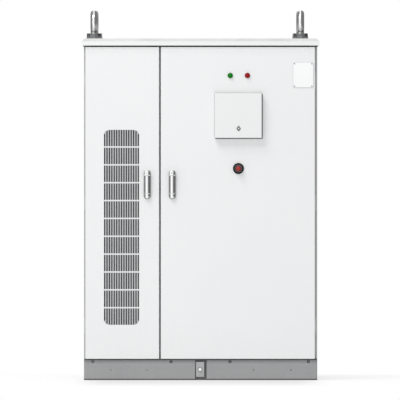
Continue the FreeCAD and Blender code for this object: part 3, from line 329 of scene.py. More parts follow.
coats = {
    "whiteCoat": {"colour": (0.865, 0.87, 0.872), "shade": (0.85, 0.856, 0.86), "roughness": 0.42,
                  # the white coat's full top film darkens faces turned up, such as the roof's bevel: dust and
                  # painted shade
                  "grainScale": 620.0, "relief": 0.12, "mottleScale": 1.6, "topDustAndShade": 1.0, "splash": 0.12,
                  "splashHeight": 0.45, "dustAndShadeColour": (0.54, 0.538, 0.53),
                  # the white coat's near-white rim colour is a painted highlight along the rounded edges
                  "paintedRimColour": (0.97, 0.972, 0.975)},
    "innerCoat": {"colour": (0.78, 0.79, 0.795), "shade": (0.75, 0.757, 0.76), "roughness": 0.45,
                  "grainScale": 620.0, "relief": 0.12},
    "plinthGrey": {"colour": (0.345, 0.348, 0.352), "shade": (0.325, 0.328, 0.332), "roughness": 0.6,
                   "grainScale": 500.0, "relief": 0.3, "mottleScale": 5.0, "topDustAndShade": 0.4, "splash": 0.25,
                   "splashHeight": 0.09, "dustAndShadeColour": (0.4, 0.39, 0.37),
                   # the upper band is painted shade under the doors' overhang; the lower band makes it darker
                   # along the bottom edge
                   "paintedHeightBands": ((0.094, 0.124, (0.19, 0.192, 0.195)), (0.0105, 0.0065, (0.07, 0.07, 0.07)))},
    "footSteel": {"colour": (0.182, 0.185, 0.191), "shade": (0.15, 0.152, 0.158), "roughness": 0.5,
                  "grainScale": 450.0, "relief": 0.3, "mottleScale": 30.0, "wear": 0.7,
                  "wearColour": (0.4, 0.4, 0.41), "topDustAndShade": 0.25},
    "lockBlack": {"colour": (0.028, 0.028, 0.03), "shade": (0.036, 0.036, 0.038), "roughness": 0.42,
                  "grainScale": 900.0, "relief": 0.15, "wear": 0.4, "wearColour": (0.12, 0.12, 0.12)},
    "coverWhite": {"colour": (0.845, 0.85, 0.85), "shade": (0.832, 0.838, 0.84), "roughness": 0.38,
                   "grainScale": 800.0, "relief": 0.1, "topDustAndShade": 0.3,
                   # the cover's dark rim colour is painted shade along its left, top and right edges; its
                   # lower edge keeps none
                   "paintedRimColour": (0.5, 0.504, 0.508), "paintedRimBelow": 0.0},
    "screenBlack": {"colour": (0.022, 0.023, 0.026), "shade": (0.03, 0.031, 0.034), "roughness": 0.35,
                    "grainScale": 800.0, "relief": 0.2},
    "stopBlack": {"colour": (0.014, 0.013, 0.012), "shade": (0.019, 0.018, 0.017), "roughness": 0.6,
                  "grainScale": 900.0, "relief": 0.15, "mottleScale": 40.0, "wear": 0.35,
                  "wearColour": (0.09, 0.09, 0.09), "specular": 0.12},
    "stopRed": {"colour": (0.37, 0.03, 0.026), "shade": (0.31, 0.022, 0.02), "roughness": 0.34,
                "grainScale": 700.0, "relief": 0.08, "mottleScale": 60.0, "coat": 0.1, "specular": 0.35},
    "sealRubber": {"colour": (0.03, 0.03, 0.031), "shade": (0.042, 0.042, 0.043), "roughness": 0.75,
                   "grainScale": 500.0, "relief": 0.3, "mottleScale": 12.0},
    "glandBlack": {"colour": (0.035, 0.035, 0.037), "shade": (0.05, 0.05, 0.052), "roughness": 0.5,
                   "grainScale": 700.0, "relief": 0.2, "mottleScale": 30.0},
    "packCase": {"colour": (0.055, 0.06, 0.066), "shade": (0.07, 0.075, 0.08), "roughness": 0.55,
                 "grainScale": 350.0, "relief": 0.35, "mottleScale": 8.0, "topDustAndShade": 0.1},
    "boxGrey": {"colour": (0.3, 0.31, 0.33), "shade": (0.28, 0.29, 0.31), "roughness": 0.5,
                "grainScale": 500.0, "relief": 0.25, "mottleScale": 4.0},
    "switchRed": {"colour": (0.45, 0.03, 0.03), "shade": (0.38, 0.026, 0.026), "roughness": 0.4,
                  "grainScale": 700.0, "relief": 0.15, "mottleScale": 30.0, "wear": 0.3,
                  "wearColour": (0.6, 0.2, 0.18)},
    "fanBlack": {"colour": (0.028, 0.028, 0.03), "shade": (0.04, 0.04, 0.042), "roughness": 0.5,
                 "grainScale": 600.0, "relief": 0.2, "mottleScale": 15.0},
    "canisterRed": {"colour": (0.5, 0.025, 0.02), "shade": (0.44, 0.02, 0.018), "roughness": 0.25,
                    "grainScale": 300.0, "relief": 0.05, "mottleScale": 6.0, "coat": 0.5},
    "plateWhite": {"colour": (0.955, 0.958, 0.96), "shade": (0.94, 0.944, 0.946), "roughness": 0.35,
                   "grainScale": 900.0, "relief": 0.06, "topDustAndShade": 0.3,
                   # the plate's dark rim colour is a painted shadow outline round its bevel
                   "paintedRimColour": (0.16, 0.163, 0.166)},
}
# the side panels' and hinge leaves' faces turned to the front are darkened with painted shade, as they sit
# recessed beside the doors
coats["sideCoat"] = {**coats["whiteCoat"], "paintedRimColour": None, "paintedFrontFaceShade": (0.49, 0.493, 0.497)}
# the doors are lightened just under the roof's lip: painted light against the lip's shadow
coats["doorCoat"] = {**coats["whiteCoat"], "paintedHeightBands": ((1.966, 1.992, (0.965, 0.968, 0.97)),)}
# the wide door's grille area takes painted shade: grey bars, and webs a little darker than the door
coats["grilleCoat"] = {**coats["doorCoat"],
                       "paintedBarShade": {"x": (-0.5798, -0.3692), "z": (0.332, 1.502), "depth": 10.0, "corner": 0.03,
                                "pitch": 0.10714, "web": 0.0085, "colour": (0.5, 0.505, 0.51),
                                "paintedWebShade": (0.79, 0.795, 0.8)}}
coats["plateGrey"] = {**coats["plinthGrey"], "colour": (0.44, 0.443, 0.447), "shade": (0.42, 0.423, 0.427),
                      "paintedHeightBands": ()}
# the plinth frame's faces turned to the front are near black with painted shade, and it is darker along the
# bottom edge
coats["frameGrey"] = {**coats["plinthGrey"], "paintedFrontFaceShade": (0.1, 0.101, 0.103),
                      "paintedHeightBands": ((0.0105, 0.0065, (0.07, 0.07, 0.07)),)}

metals = {
    "zinc": {"colour": (0.66, 0.67, 0.68), "shade": (0.52, 0.53, 0.54), "roughness": 0.3,
             "stretch": (160.0, 160.0, 40.0), "relief": 0.15, "wear": 0.6,
             "wearColour": (0.85, 0.85, 0.86)},
    # the eye steel and the handle chrome below have painted reflection: dark flank colours beside a bright
    # middle band
    "eyeSteel": {"colour": (0.98, 0.98, 0.985), "shade": (0.93, 0.93, 0.94), "roughness": 0.14,
                 "stretch": (60.0, 200.0, 200.0), "relief": 0.04, "wear": 0.3,
                 "wearColour": (0.95, 0.95, 0.95), "paintedFlankShadeColour": (0.48, 0.48, 0.485), "paintedHighlightBand": (-0.5, 0.05),
                 "bandSoftness": 0.16},
    "handleChrome": {"colour": (0.985, 0.988, 0.99), "shade": (0.95, 0.955, 0.96), "roughness": 0.1,
                     "stretch": (120.0, 120.0, 30.0), "relief": 0.02, "wear": 0.3,
                     "wearColour": (0.95, 0.95, 0.96), "paintedFlankShadeColour": (0.34, 0.343, 0.35),
                     "paintedHighlightBand": (-0.36, 0.23), "bandSoftness": 0.12},
    "buttonChrome": {"colour": (0.93, 0.93, 0.935), "shade": (0.88, 0.88, 0.885), "roughness": 0.18,
                     "stretch": (300.0, 20.0, 300.0), "relief": 0.05},
    "lockCore": {"colour": (0.8, 0.8, 0.8), "shade": (0.7, 0.7, 0.7), "roughness": 0.3,
                 "stretch": (300.0, 20.0, 300.0), "relief": 0.08},
    "coilAluminium": {"colour": (0.62, 0.63, 0.64), "shade": (0.5, 0.51, 0.52), "roughness": 0.4,
                      "stretch": (500.0, 10.0, 20.0), "relief": 0.6},
    "guardWire": {"colour": (0.6, 0.6, 0.61), "shade": (0.5, 0.5, 0.51), "roughness": 0.25,
                  "stretch": (60.0, 60.0, 60.0), "relief": 0.05},
}


def lensMaterial(name, look):
    # coloured indicator lens, darker towards its rim with painted shade
    material, tree, shader = newMaterial(name)
    texture = placeGroup(tree, fineTexture, {"Grain Scale": 500.0, "Relief": 0.06, "Mottle Scale": 120.0})
    front = remap(tree, (partsOf(tree, "Normal"), "Y"), *lensRimShadeTurn)
    feed(tree, shader, {"Base Color": mixColour(tree, front, look["rim"], look["colour"]),
                        "Roughness": remap(tree, (texture, "Mottle"), *mottleRange, *lensRoughness),
                        "Normal": (texture, "Normal"), "Specular IOR Level": 0.1})
    return material


lenses = {
    # each lens's rim colour is a painted shade of its own colour
    "lampGreen": {"colour": (0.006, 0.2, 0.01), "rim": (0.003, 0.1, 0.005)},
    "lampRed": {"colour": (0.31, 0.012, 0.012), "rim": (0.16, 0.006, 0.007)},
}


filterFleece = {"gap": (0.12, 0.121, 0.123), "thread": (0.27, 0.272, 0.276), "threads": 160.0,
                "waviness": 0.6, "relief": 0.6, "threadDepth": 0.0006, "roughness": 0.85}


def filterMaterial(name, look):
    # open filter fleece: crossed threads, darker in the gaps between them
    material, tree, shader = newMaterial(name)
    across, upright = [
        addNode(tree, "ShaderNodeTexWave",
                {"Vector": ownPlace(tree), "Scale": look["threads"], "Distortion": look["waviness"]},
                bands_direction=direction)
        for direction in ("X", "Z")]
    weave = calculate(tree, "MULTIPLY", (across, "Fac"), (upright, "Fac"))
    bump = addNode(tree, "ShaderNodeBump", {"Strength": look["relief"], "Distance": look["threadDepth"],
                                            "Height": weave})
    feed(tree, shader, {"Base Color": mixColour(tree, weave, look["gap"], look["thread"]),
                        "Normal": (bump, "Normal"), "Roughness": look["roughness"]})
    return material


displayDark = {"colour": (0.008, 0.01, 0.014), "smear": (0.014, 0.017, 0.022), "smearScale": 14.0,
               "roughness": (0.05, 0.16), "coatRoughness": 0.03}


def glassMaterial(name, look):
    # dark display glass with faint smears
    material, tree, shader = newMaterial(name)
    texture = placeGroup(tree, fineTexture, {"Mottle Scale": look["smearScale"]})
    feed(tree, shader, {"Base Color": mixColour(tree, (texture, "Mottle"), look["colour"], look["smear"]),
                        "Roughness": remap(tree, (texture, "Mottle"), *mottleRange, *look["roughness"]),
                        "Coat Weight": 1.0, "Coat Roughness": look["coatRoughness"]})
    return material


materials = {name: coatMaterial(name, look) for name, look in coats.items()}
materials.update({name: metalMaterial(name, look) for name, look in metals.items()})
materials.update({name: lensMaterial(name, look) for name, look in lenses.items()})
materials["filterMesh"] = filterMaterial("filterMesh", filterFleece)
materials["displayGlass"] = glassMaterial("displayGlass", displayDark)
print("finishes:", len(materials))

finishOf = {
    "whiteCoat": ["rear_panel", "roof_cap"],
    "doorCoat": ["right_door_shell"],
    "grilleCoat": ["left_door_shell"],
    "sideCoat": ["left_side_panel", "right_side_panel", "hinge_frame_leaves", "left_hinge_leaves",
                 "right_hinge_leaves"],
    "innerCoat": ["floor_pan", "corner_posts", "centre_post", "cross_rails", "bay_partition",
                  "left_door_liner", "right_door_liner"],
    "plinthGrey": ["plinth_left_cover", "plinth_right_cover"],
    "frameGrey": ["plinth_frame"],
    "plateGrey": ["plinth_centre_plate"],
    "footSteel": ["lifting_feet", "case_bolts"],
    "eyeSteel": ["lifting_eyes"],
    "zinc": ["battery_rack", "left_upper_rod", "left_lower_rod", "right_upper_rod", "right_lower_rod"],
    "glandBlack": ["cable_glands"],
    "packCase": ["battery_pack_%d" % number for number in range(1, 6)],
    "boxGrey": ["high_voltage_box", "cooling_unit_case"],
    "switchRed": ["main_switch_lever"],
    "fanBlack": ["fan_lower", "fan_upper"],
    "coilAluminium": ["cooling_coil"],
    "canisterRed": ["fire_canister"],
    "sealRubber": ["door_seals"],
    "filterMesh": ["air_filter"],
    "handleChrome": ["left_handle_base", "right_handle_base", "left_handle_hub", "right_handle_hub",
                     "left_handle_lever", "right_handle_lever"],
    "buttonChrome": ["left_lock_button", "right_lock_button"],
    "screenBlack": ["screen_frame"],
    "coverWhite": ["screen_cover"],
    "lockBlack": ["cover_lock_bezel"],
    "lockCore": ["cover_lock"],
    "lampGreen": ["green_lamp"],
    "lampRed": ["red_lamp"],
    "stopBlack": ["stop_collar", "stop_stem"],
    "stopRed": ["stop_head"],
}
dressed = 0
for finish, names in finishOf.items():
    for name in names:
        node = nodes[name]
        if not node.material_slots:
            node.data.materials.append(materials[finish])
        for slot in node.material_slots:
            slot.material = materials[finish]
        dressed += 1
print("nodes with a finish:", dressed)


# Mesh helpers

def bridgeRings(mesh, rings, closed=False):
    pairs = list(zip(rings, rings[1:])) + ([(rings[-1], rings[0])] if closed else [])
    for first, second in pairs:
        count = max(len(first), len(second))
        for index in range(count):
            following = (index + 1) % count
            corners = []
            for ring, picks in ((first, (index, following)), (second, (following, index))):
                for pick in picks:
                    vertex = ring[pick] if len(ring) > 1 else ring[0]
                    if vertex not in corners:
                        corners.append(vertex)
            mesh.faces.new(corners)


def addCircle(mesh, middle, side, other, radius, count):
    # side and other are the two directions that it lies in
    turns = [2 * math.pi * step / count for step in range(count)]
    return [mesh.verts.new(middle + side * radius * math.cos(turn) + other * radius * math.sin(turn))
            for turn in turns]


def addTurned(mesh, profile, centre, segments=28, closed=False):
    # profile holds pairs of a radius and a distance from centre towards the front
    rings = []
    for radius, distance in profile:
        middle = centre + outward * distance
        if radius:
            rings.append(addCircle(mesh, middle, alongX, alongZ, radius, segments))
        else:
            rings.append([mesh.verts.new(middle)])
    bridgeRings(mesh, rings, closed)


def addRing(mesh, centre, ringRadius, wireRadius, around=56, section=8):
    # a wire ring that faces the front
    rings = []
    for step in range(around):
        turn = 2 * math.pi * step / around
        spoke = alongX * math.cos(turn) - alongZ * math.sin(turn)
        rings.append(addCircle(mesh, centre + spoke * ringRadius, spoke, alongY, wireRadius, section))
    bridgeRings(mesh, rings, closed=True)


def addRod(mesh, centre, direction, reach, radius, sides=8):
    other = direction.cross(alongY)
    rings = [addCircle(mesh, centre + direction * end, alongY, other, radius, sides)
             for end in (-reach, reach)]
    bridgeRings(mesh, rings)
    mesh.faces.new(rings[0][::-1])
    mesh.faces.new(rings[1])


def roundedOutline(width, height, radius, steps=6):
    points = []
    for signX, signZ, start in ((1, 1, 0), (-1, 1, 90), (-1, -1, 180), (1, -1, 270)):
        for step in range(steps + 1):
            turn = math.radians(start + 90 * step / steps)
            points.append((signX * (width / 2 - radius) + radius * math.cos(turn),
                           signZ * (height / 2 - radius) + radius * math.sin(turn)))
    return points


def denserOutline(outline, longest):
    # extra points on the straight stretches, for a plate that is crowned
    points = []
    for (x, z), (nextX, nextZ) in zip(outline, outline[1:] + outline[:1]):
        count = max(1, math.ceil(math.hypot(nextX - x, nextZ - z) / longest))
        points += [(x + (nextX - x) * part / count, z + (nextZ - z) * part / count) for part in range(count)]
    return points


sharpestCorner = 0.001
bevelBend = 0.3  # where the two flats of a bevel meet, as a share of it
sharpAngle = math.radians(32)


def insetRing(mesh, centre, size, radius, inset, proud):
    # a rounded outline, drawn in by inset and standing proud of centre towards the front
    width, height = size
    outline = roundedOutline(width - 2 * inset, height - 2 * inset, max(radius - inset, sharpestCorner))
    return [mesh.verts.new(centre + Vector((x, -proud, z))) for x, z in outline]


def addPlate(mesh, centre, size, radius, depth, bevel):
    # a rounded plate that stands depth proud of centre, towards the front, with a bevelled rim
    bend = bevel * bevelBend
    rings = [insetRing(mesh, centre, size, radius, inset, proud)
             for inset, proud in ((0, 0), (0, depth - bevel), (bend, depth - bend), (bevel, depth))]
    bridgeRings(mesh, rings)
    mesh.faces.new(rings[-1])
    mesh.faces.new(rings[0][::-1])


# Pan head with a socket recess, in shares of the screw's radius and height
screwHead = {"height": 0.6, "segments": 20,
             "profile": ((0, 0.4), (0.42, 0.4), (0.48, 1), (0.78, 0.88), (1, 0.35), (1, 0), (0, 0))}


def addScrew(mesh, centre, radius):
    height = radius * screwHead["height"]
    profile = [(radius * out, height * up) for out, up in screwHead["profile"]]
    addTurned(mesh, profile, centre, screwHead["segments"])


def finishPiece(name, mesh, finish, body, smooth=True):
    bmesh.ops.recalc_face_normals(mesh, faces=mesh.faces)
    data = bpy.data.meshes.new(name)
    mesh.to_mesh(data)
    mesh.free()
    data.materials.append(materials[finish])
    if smooth:
        data.shade_smooth()
        data.set_sharp_from_angle(angle=sharpAngle)
    piece = bpy.data.objects.new(name, data)
    scene.collection.objects.link(piece)
    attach(piece, body)
    return piece


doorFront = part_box("right_door_shell")[0].y


# Blank plate with four fixings, at the top right of the wide door
blankPlate = {"centre": (0.6155, 1.8315), "size": (0.123, 0.153), "radius": 0.0115, "depth": 0.0025,
              "bevel": 0.0011, "fixingInset": 0.0095, "fixingRadius": 0.0036}


def buildBlankPlate(plan):
    centreX, centreZ = plan["centre"]
    centre = Vector((centreX, doorFront, centreZ))
    mesh = bmesh.new()
    addPlate(mesh, centre, plan["size"], plan["radius"], plan["depth"], plan["bevel"])
    finishPiece("blankPlate", mesh, "plateWhite", "right_door", smooth=False)
    mesh = bmesh.new()
    reachX, reachZ = [side / 2 - plan["fixingInset"] for side in plan["size"]]
    for signX in (-1, 1):
        for signZ in (-1, 1):
            seat = centre + Vector((signX * reachX, -plan["depth"], signZ * reachZ))
            addScrew(mesh, seat, plan["fixingRadius"])
    finishPiece("blankPlateFixings", mesh, "footSteel", "right_door")


buildBlankPlate(blankPlate)


# Dark gaskets under the handles' bases
handleGasket = {"spread": 0.0011, "depth": 0.0014, "radius": 0.0201, "bevel": 0.0003}


def buildHandleGaskets(plan):
    for side in ("left", "right"):
        low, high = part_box("%s_handle_base" % side)
        centre = Vector(((low.x + high.x) / 2, doorFront, (low.z + high.z) / 2))
        size = (high.x - low.x + 2 * plan["spread"], high.z - low.z + 2 * plan["spread"])
        mesh = bmesh.new()
        addPlate(mesh, centre, size, plan["radius"], plan["depth"], plan["bevel"])
        finishPiece("%sHandleGasket" % side, mesh, "sealRubber", "%s_door" % side)


buildHandleGaskets(handleGasket)


# Crowned chrome caps that carry the levers' arched section on over the hubs
hubCap = {"radius": 0.018, "crownRadius": 0.0233, "top": -0.672, "back": -0.6619, "frontEnd": 1.1164,
          "backEnd": 1.1143, "hubHeight": 1.108, "levels": (1.0, 0.94, 0.82, 0.66, 0.5, 0.33, 0.16, 0.0),
          "turns": 14}


def crownDepth(radius, distance):
    return radius - math.sqrt(radius * radius - distance * distance)


def capOutline(plan, scale, centreX, end, depth):
    # down the left side, round the hub and up the right side
    reach = plan["radius"] * scale
    hubHeight = plan["hubHeight"]
    points = [Vector((centreX - reach, depth, end)), Vector((centreX - reach, depth, hubHeight))]
    for step in range(1, plan["turns"]):
        turn = math.pi * (1 + step / plan["turns"])
        points.append(Vector((centreX + reach * math.cos(turn), depth, hubHeight + reach * math.sin(turn))))
    return points + [Vector((centreX + reach, depth, hubHeight)), Vector((centreX + reach, depth, end))]


def buildHubCaps(plan):
    for side in ("left", "right"):
        low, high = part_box("%s_handle_hub" % side)
        centreX = (low.x + high.x) / 2
        outlines = [capOutline(plan, 1.0, centreX, plan["backEnd"], plan["back"])]
        for scale in plan["levels"]:
            depth = plan["top"] + crownDepth(plan["crownRadius"], plan["radius"] * scale)
            outlines.append(capOutline(plan, scale, centreX, plan["frontEnd"], depth))
        mesh = bmesh.new()
        strips = [[mesh.verts.new(point) for point in outline] for outline in outlines]
        for first, second in zip(strips, strips[1:]):
            for index in range(len(first) - 1):
                mesh.faces.new((first[index], first[index + 1], second[index + 1], second[index]))
        crown = [strip[0] for strip in strips[1:]] + [strip[-1] for strip in strips[-2:0:-1]]
        foot = [mesh.verts.new((vertex.co.x, plan["back"], plan["backEnd"])) for vertex in crown[1:-1]]
        foot = [strips[0][0]] + foot + [strips[0][-1]]
        for index in range(len(crown) - 1):
            mesh.faces.new((crown[index], crown[index + 1], foot[index + 1], foot[index]))
        mesh.faces.new(strips[0] + foot[-2:0:-1])
        bmesh.ops.remove_doubles(mesh, verts=mesh.verts, dist=1e-6)
        finishPiece("%sHubCap" % side, mesh, "handleChrome", "%s_hub" % side)


buildHubCaps(hubCap)


# Crowned chrome caps on the lock blocks, each with a hole for its button
lockCap = {"width": 0.0364, "height": 0.0258, "corner": 0.0055, "hole": 0.0068, "crownRadius": 0.034,
           "proud": 0.0049, "sunk": 0.0001, "bevel": 0.0005, "cornerSteps": 7, "longest": 0.0015,
           "shares": (0.04, 0.2, 0.4, 0.6, 0.8, 0.95), "bevelShare": 0.985, "bevelFall": 0.4}


def buildLockCaps(plan):
    for side in ("left", "right"):
        buttonLow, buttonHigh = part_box("%s_lock_button" % side)
        button = (buttonLow + buttonHigh) / 2
        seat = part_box("%s_handle_base" % side)[0].y + plan["sunk"]
        corners = roundedOutline(plan["width"], plan["height"], plan["corner"], plan["cornerSteps"])
        outline = denserOutline(corners, plan["longest"])
        hole = [Vector((x, z)).normalized() * plan["hole"] for x, z in outline]
        mesh = bmesh.new()

        def ringAt(share, fall=None):
            # a ring part of the way from the hole to the rim: fallen from the crown, or down on the seat
            ring = []
            for (x, z), (holeX, holeZ) in zip(outline, hole):
                placeX = holeX + (x - holeX) * share
                placeZ = holeZ + (z - holeZ) * share
                front = seat - plan["proud"] + crownDepth(plan["crownRadius"], placeX)
                depth = seat if fall is None else front + fall
                ring.append(mesh.verts.new((button.x + placeX, depth, button.z + placeZ)))
            return ring

        rings = [ringAt(0.0), ringAt(0.0, plan["bevel"])]
        rings += [ringAt(share, 0.0) for share in plan["shares"]]
        rings += [ringAt(plan["bevelShare"], plan["bevel"] * plan["bevelFall"]), ringAt(1.0, plan["bevel"]),
                  ringAt(1.0)]
        bridgeRings(mesh, rings, closed=True)
        finishPiece("%sLockCap" % side, mesh, "handleChrome", "%s_door" % side)


buildLockCaps(lockCap)


# Rubber gasket under the screen cover's free edges, set so that it shows only past the right and lower edges
# as a painted shadow line
coverShadowGasket = {"outerX": (0.0855, 0.3725), "outerZ": (1.4478, 1.7215), "rim": 0.013, "radius": 0.008,
               "depth": 0.0012, "bevel": 0.0003}


def buildCoverShadowGasket(plan):
    lowX, highX = plan["outerX"]
    lowZ, highZ = plan["outerZ"]
    rim, bevel, depth = plan["rim"], plan["bevel"], plan["depth"]
    centre = Vector(((lowX + highX) / 2, doorFront, (lowZ + highZ) / 2))
    section = ((0, 0), (0, depth - bevel), (bevel, depth), (rim - bevel, depth), (rim, depth - bevel),
               (rim, 0))
    mesh = bmesh.new()
    rings = [insetRing(mesh, centre, (highX - lowX, highZ - lowZ), plan["radius"], inset, proud)
             for inset, proud in section]
    bridgeRings(mesh, rings, closed=True)
    finishPiece("coverShadowGasket", mesh, "sealRubber", "right_door")


buildCoverShadowGasket(coverShadowGasket)


# Rubber end plugs of the roof's gasket, over the cabinet's side strips: dark pieces that carry the seam's
# painted shadow across them
roofSeamShadowPlug = {"x": 0.6925, "width": 0.027, "z": (2.0012, 2.0079), "front": -0.6492, "back": -0.6,
            "radius": 0.002, "bevel": 0.0006}


def buildRoofSeamShadowPlugs(plan):
    lowZ, highZ = plan["z"]
    size = (plan["width"], highZ - lowZ)
    for side, sign in (("left", -1), ("right", 1)):
        centre = Vector((sign * plan["x"], plan["back"], (lowZ + highZ) / 2))
        mesh = bmesh.new()
        addPlate(mesh, centre, size, plan["radius"], plan["back"] - plan["front"], plan["bevel"])
        finishPiece("%sRoofPlug" % side, mesh, "sealRubber", "cabinet")


buildRoofSeamShadowPlugs(roofSeamShadowPlug)


# Light ring let into the stop button's collar
stopRing = {"radius": 0.0205, "wire": 0.0011, "setBack": 0.0003}


def buildStopRing(plan):
    low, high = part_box("stop_collar")
    centre = Vector(((low.x + high.x) / 2, low.y - plan["setBack"], (low.z + high.z) / 2))
    mesh = bmesh.new()
    addRing(mesh, centre, plan["radius"], plan["wire"])
    finishPiece("stopRing", mesh, "boxGrey", "right_door")


buildStopRing(stopRing)


# Washer under the plinth plate's bolt, and a bright flat cap pressed over the bolt's head
boltSeat = Vector((-0.0036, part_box("plinth_centre_plate")[0].y, 0.064))
plateWasher = {"inner": 0.0052, "outer": 0.0135, "thickness": 0.0012, "bevel": 0.0004}
boltCap = {"profile": ((0, 0.0072), (0.0099, 0.0072), (0.0099, 0.0013), (0.0105, 0.0013), (0.0105, 0.0069),
                       (0.0095, 0.0083), (0, 0.0085))}


def buildPlateWasher(plan):
    inner, outer, top, bevel = plan["inner"], plan["outer"], plan["thickness"], plan["bevel"]
    profile = [(inner, 0), (inner, top), (outer - bevel, top), (outer, top - bevel), (outer, 0)]
    mesh = bmesh.new()
    addTurned(mesh, profile, boltSeat, closed=True)
    finishPiece("plateWasher", mesh, "footSteel", "cabinet")


def buildBoltCap(plan):
    mesh = bmesh.new()
    addTurned(mesh, plan["profile"], boltSeat)
    finishPiece("boltCap", mesh, "buttonChrome", "cabinet")


buildPlateWasher(plateWasher)
buildBoltCap(boltCap)


# Display glass in the screen's window, behind the hinged cover
displayGlass = {"x": (0.129, 0.321), "z": (1.505, 1.669), "standOff": 0.008, "radius": 0.003, "depth": 0.0012,
                "bevel": 0.0003}


def buildDisplayGlass(plan):
    lowX, highX = plan["x"]
    lowZ, highZ = plan["z"]
    centre = Vector(((lowX + highX) / 2, doorFront - plan["standOff"], (lowZ + highZ) / 2))
    mesh = bmesh.new()
    addPlate(mesh, centre, (highX - lowX, highZ - lowZ), plan["radius"], plan["depth"], plan["bevel"])
    finishPiece("displayGlass", mesh, "displayGlass", "right_door")


buildDisplayGlass(displayGlass)


# Wire guards in front of the two fans
fanGuard = {"radii": (0.04, 0.066, 0.092, 0.118, 0.143), "wire": 0.0016, "standOff": 0.006, "spokes": 4,
            "overhang": 0.012}


def buildFanGuards(plan):
    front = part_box("cooling_unit_case")[0].y - plan["standOff"]
    reach = plan["radii"][-1] + plan["overhang"]
    mesh = bmesh.new()
    for fan in ("fan_lower", "fan_upper"):
        low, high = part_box(fan)
        centre = Vector(((low.x + high.x) / 2, front, (low.z + high.z) / 2))
        for radius in plan["radii"]:
            addRing(mesh, centre, radius, plan["wire"])
        for spoke in range(plan["spokes"]):
            turn = math.pi * (spoke + 0.5) / plan["spokes"]
            direction = Vector((math.cos(turn), 0, math.sin(turn)))
            addRod(mesh, centre + alongY * 2 * plan["wire"], direction, reach, plan["wire"])
    finishPiece("fanGuards", mesh, "guardWire", "cabinet")


buildFanGuards(fanGuard)
print("pieces built")


# Floor, world and lights
studio = {"floorSize": 400.0, "floorColour": (0.93, 0.93, 0.93), "floorRoughness": 0.9, "floorSpecular": 0.1,
          "footprint": (0.7, 0.65, 100.0), "shadowReach": 0.9, "shadowKept": 0.7, "paintedFloorShadow": 0.27,
          "front": (-0.65, -0.68, -2.75), "shadeSides": (0.55, 0.8), "worldColour": (0.985, 0.99, 1.0),
          "worldStrength": 0.7}


def flatSheet(name, corners, material):
    mesh = bmesh.new()
    mesh.faces.new([mesh.verts.new(corner) for corner in corners])
    data = bpy.data.meshes.new(name)
    mesh.to_mesh(data)
    mesh.free()
    data.materials.append(material)
    sheet = bpy.data.objects.new(name, data)
    scene.collection.objects.link(sheet)
    return sheet


def floorMaterial(plan):
    # plain to the light, and glowing white to the camera and to metal, with the object's shadow kept near it
    # and a painted shadow in front of the plinth
    material, tree, shader = newMaterial("studioFloor")
    feed(tree, shader, {"Base Color": (*plan["floorColour"], 1), "Roughness": plan["floorRoughness"],
                        "Specular IOR Level": plan["floorSpecular"]})
    distance = distanceOutside(tree, ownPlace(tree), plan["footprint"])
    away = remap(tree, distance, 0.0, plan["shadowReach"], low=plan["shadowKept"])
    parts = partsOf(tree, "Object")
    start, full, end = plan["front"]
    # a painted shadow on the floor in front of the plinth, fading away ahead and to the sides
    started = remap(tree, (parts, "Y"), start, full, high=plan["paintedFloorShadow"])
    ended = remap(tree, (parts, "Y"), start, end, low=1.0, high=0.0)
    across = calculate(tree, "ABSOLUTE", (parts, "X"), 0.0)
    beside = remap(tree, across, *plan["shadeSides"], low=1.0, high=0.0, soft=True)
    paintedShadowAhead = calculate(tree, "MULTIPLY", started, ended)
    glow = calculate(tree, "SUBTRACT", 1.0, calculate(tree, "MULTIPLY", paintedShadowAhead, beside))
    path = addNode(tree, "ShaderNodeLightPath")
    eitherRay = calculate(tree, "MAXIMUM", (path, "Is Camera Ray"), (path, "Is Glossy Ray"))
    white = addNode(tree, "ShaderNodeEmission", {"Color": (1, 1, 1, 1), "Strength": glow})
    mix = addNode(tree, "ShaderNodeMixShader", {0: calculate(tree, "MULTIPLY", away, eitherRay),
                                                1: (shader, "BSDF"), 2: (white, "Emission")})
    feed(tree, tree.nodes["Material Output"], {"Surface": (mix, "Shader")})
    return material


def buildFloor(plan):
    half = plan["floorSize"] / 2
    corners = [(x, y, 0) for x, y in ((-half, -half), (half, -half), (half, half), (-half, half))]
    floor = flatSheet("studioFloor", corners, floorMaterial(plan))


def buildWorld(plan):
    world = bpy.data.worlds.new("studioWorld")
    scene.world = world
    world.use_nodes = True
    tree = world.node_tree
    light = tree.nodes["Background"]
    feed(tree, light, {"Color": (*plan["worldColour"], 1), "Strength": plan["worldStrength"]})
    backdrop = addNode(tree, "ShaderNodeBackground", {"Color": (1, 1, 1, 1), "Strength": 1.0})
    path = addNode(tree, "ShaderNodeLightPath")
    reflected = calculate(tree, "MAXIMUM", (path, "Is Glossy Ray"), (path, "Is Transmission Ray"))
    seen = calculate(tree, "MAXIMUM", (path, "Is Camera Ray"), reflected)
    mix = addNode(tree, "ShaderNodeMixShader", {0: seen, 1: (light, "Background"),
                                                2: (backdrop, "Background")})
    feed(tree, tree.nodes["World Output"], {"Surface": (mix, "Shader")})


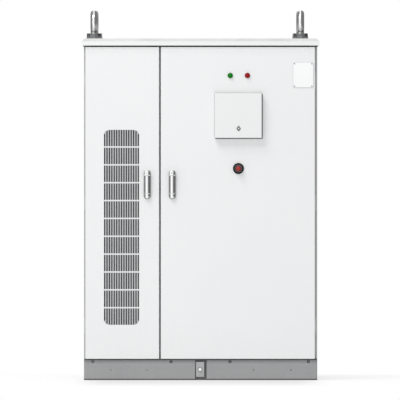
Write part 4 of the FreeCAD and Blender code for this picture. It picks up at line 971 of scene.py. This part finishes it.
def standAndAim(holder, plan):
    holder.location = plan["place"]
    direction = Vector(plan["aim"]) - Vector(plan["place"])
    holder.rotation_euler = direction.to_track_quat("-Z", "Y").to_euler()
    scene.collection.objects.link(holder)


keyLight = {"place": (-3.15, -4.1, 8.6), "aim": (0.0, -0.3, 1.0), "size": 4.4, "power": 400.0,
            "colour": (1.0, 0.995, 0.985)}


def buildKeyLight(plan):
    lamp = bpy.data.lights.new("keyLight", "AREA")
    lamp.shape = "DISK"
    lamp.size = plan["size"]
    lamp.energy = plan["power"]
    lamp.color = plan["colour"]
    holder = bpy.data.objects.new("keyLight", lamp)
    holder.visible_camera = False
    standAndAim(holder, plan)


# Dark studio cards at both sides, which only polished metal picks up
sideCards = {"left": (-2.2, -1.7), "right": (1.7, -9.0), "back": 12.0, "height": 9.0, "glow": 0.35}


def buildSideCards(plan):
    material, tree, shader = newMaterial("studioCard")
    tree.nodes.remove(shader)
    glow = addNode(tree, "ShaderNodeEmission", {"Color": (1, 1, 1, 1), "Strength": plan["glow"]})
    feed(tree, tree.nodes["Material Output"], {"Surface": (glow, "Emission")})
    back, height = plan["back"], plan["height"]
    for side in ("left", "right"):
        x, front = plan[side]
        corners = [(x, front, 0), (x, back, 0), (x, back, height), (x, front, height)]
        card = flatSheet("%sCard" % side, corners, material)
        card.visible_camera = False
        card.visible_diffuse = False
        card.visible_transmission = False
        card.visible_shadow = False


buildFloor(studio)
buildWorld(studio)
buildKeyLight(keyLight)
buildSideCards(sideCards)
print("studio lit")


# Camera at the photograph's angle: far off, level with the cabinet's roof
photoView = {"place": (-0.0036, -112.65, 2.07), "aim": (-0.0036, -0.65, 1.081), "lens": 1680.0,
             "sensor": 36.0, "farthest": 500.0}


def buildCamera(plan):
    lens = bpy.data.cameras.new("photoCamera")
    lens.lens = plan["lens"]
    lens.sensor_width = plan["sensor"]
    lens.clip_end = plan["farthest"]
    camera = bpy.data.objects.new("photoCamera", lens)
    standAndAim(camera, plan)
    scene.camera = camera


buildCamera(photoView)
scene.view_settings.view_transform = "Standard"
print("camera set")
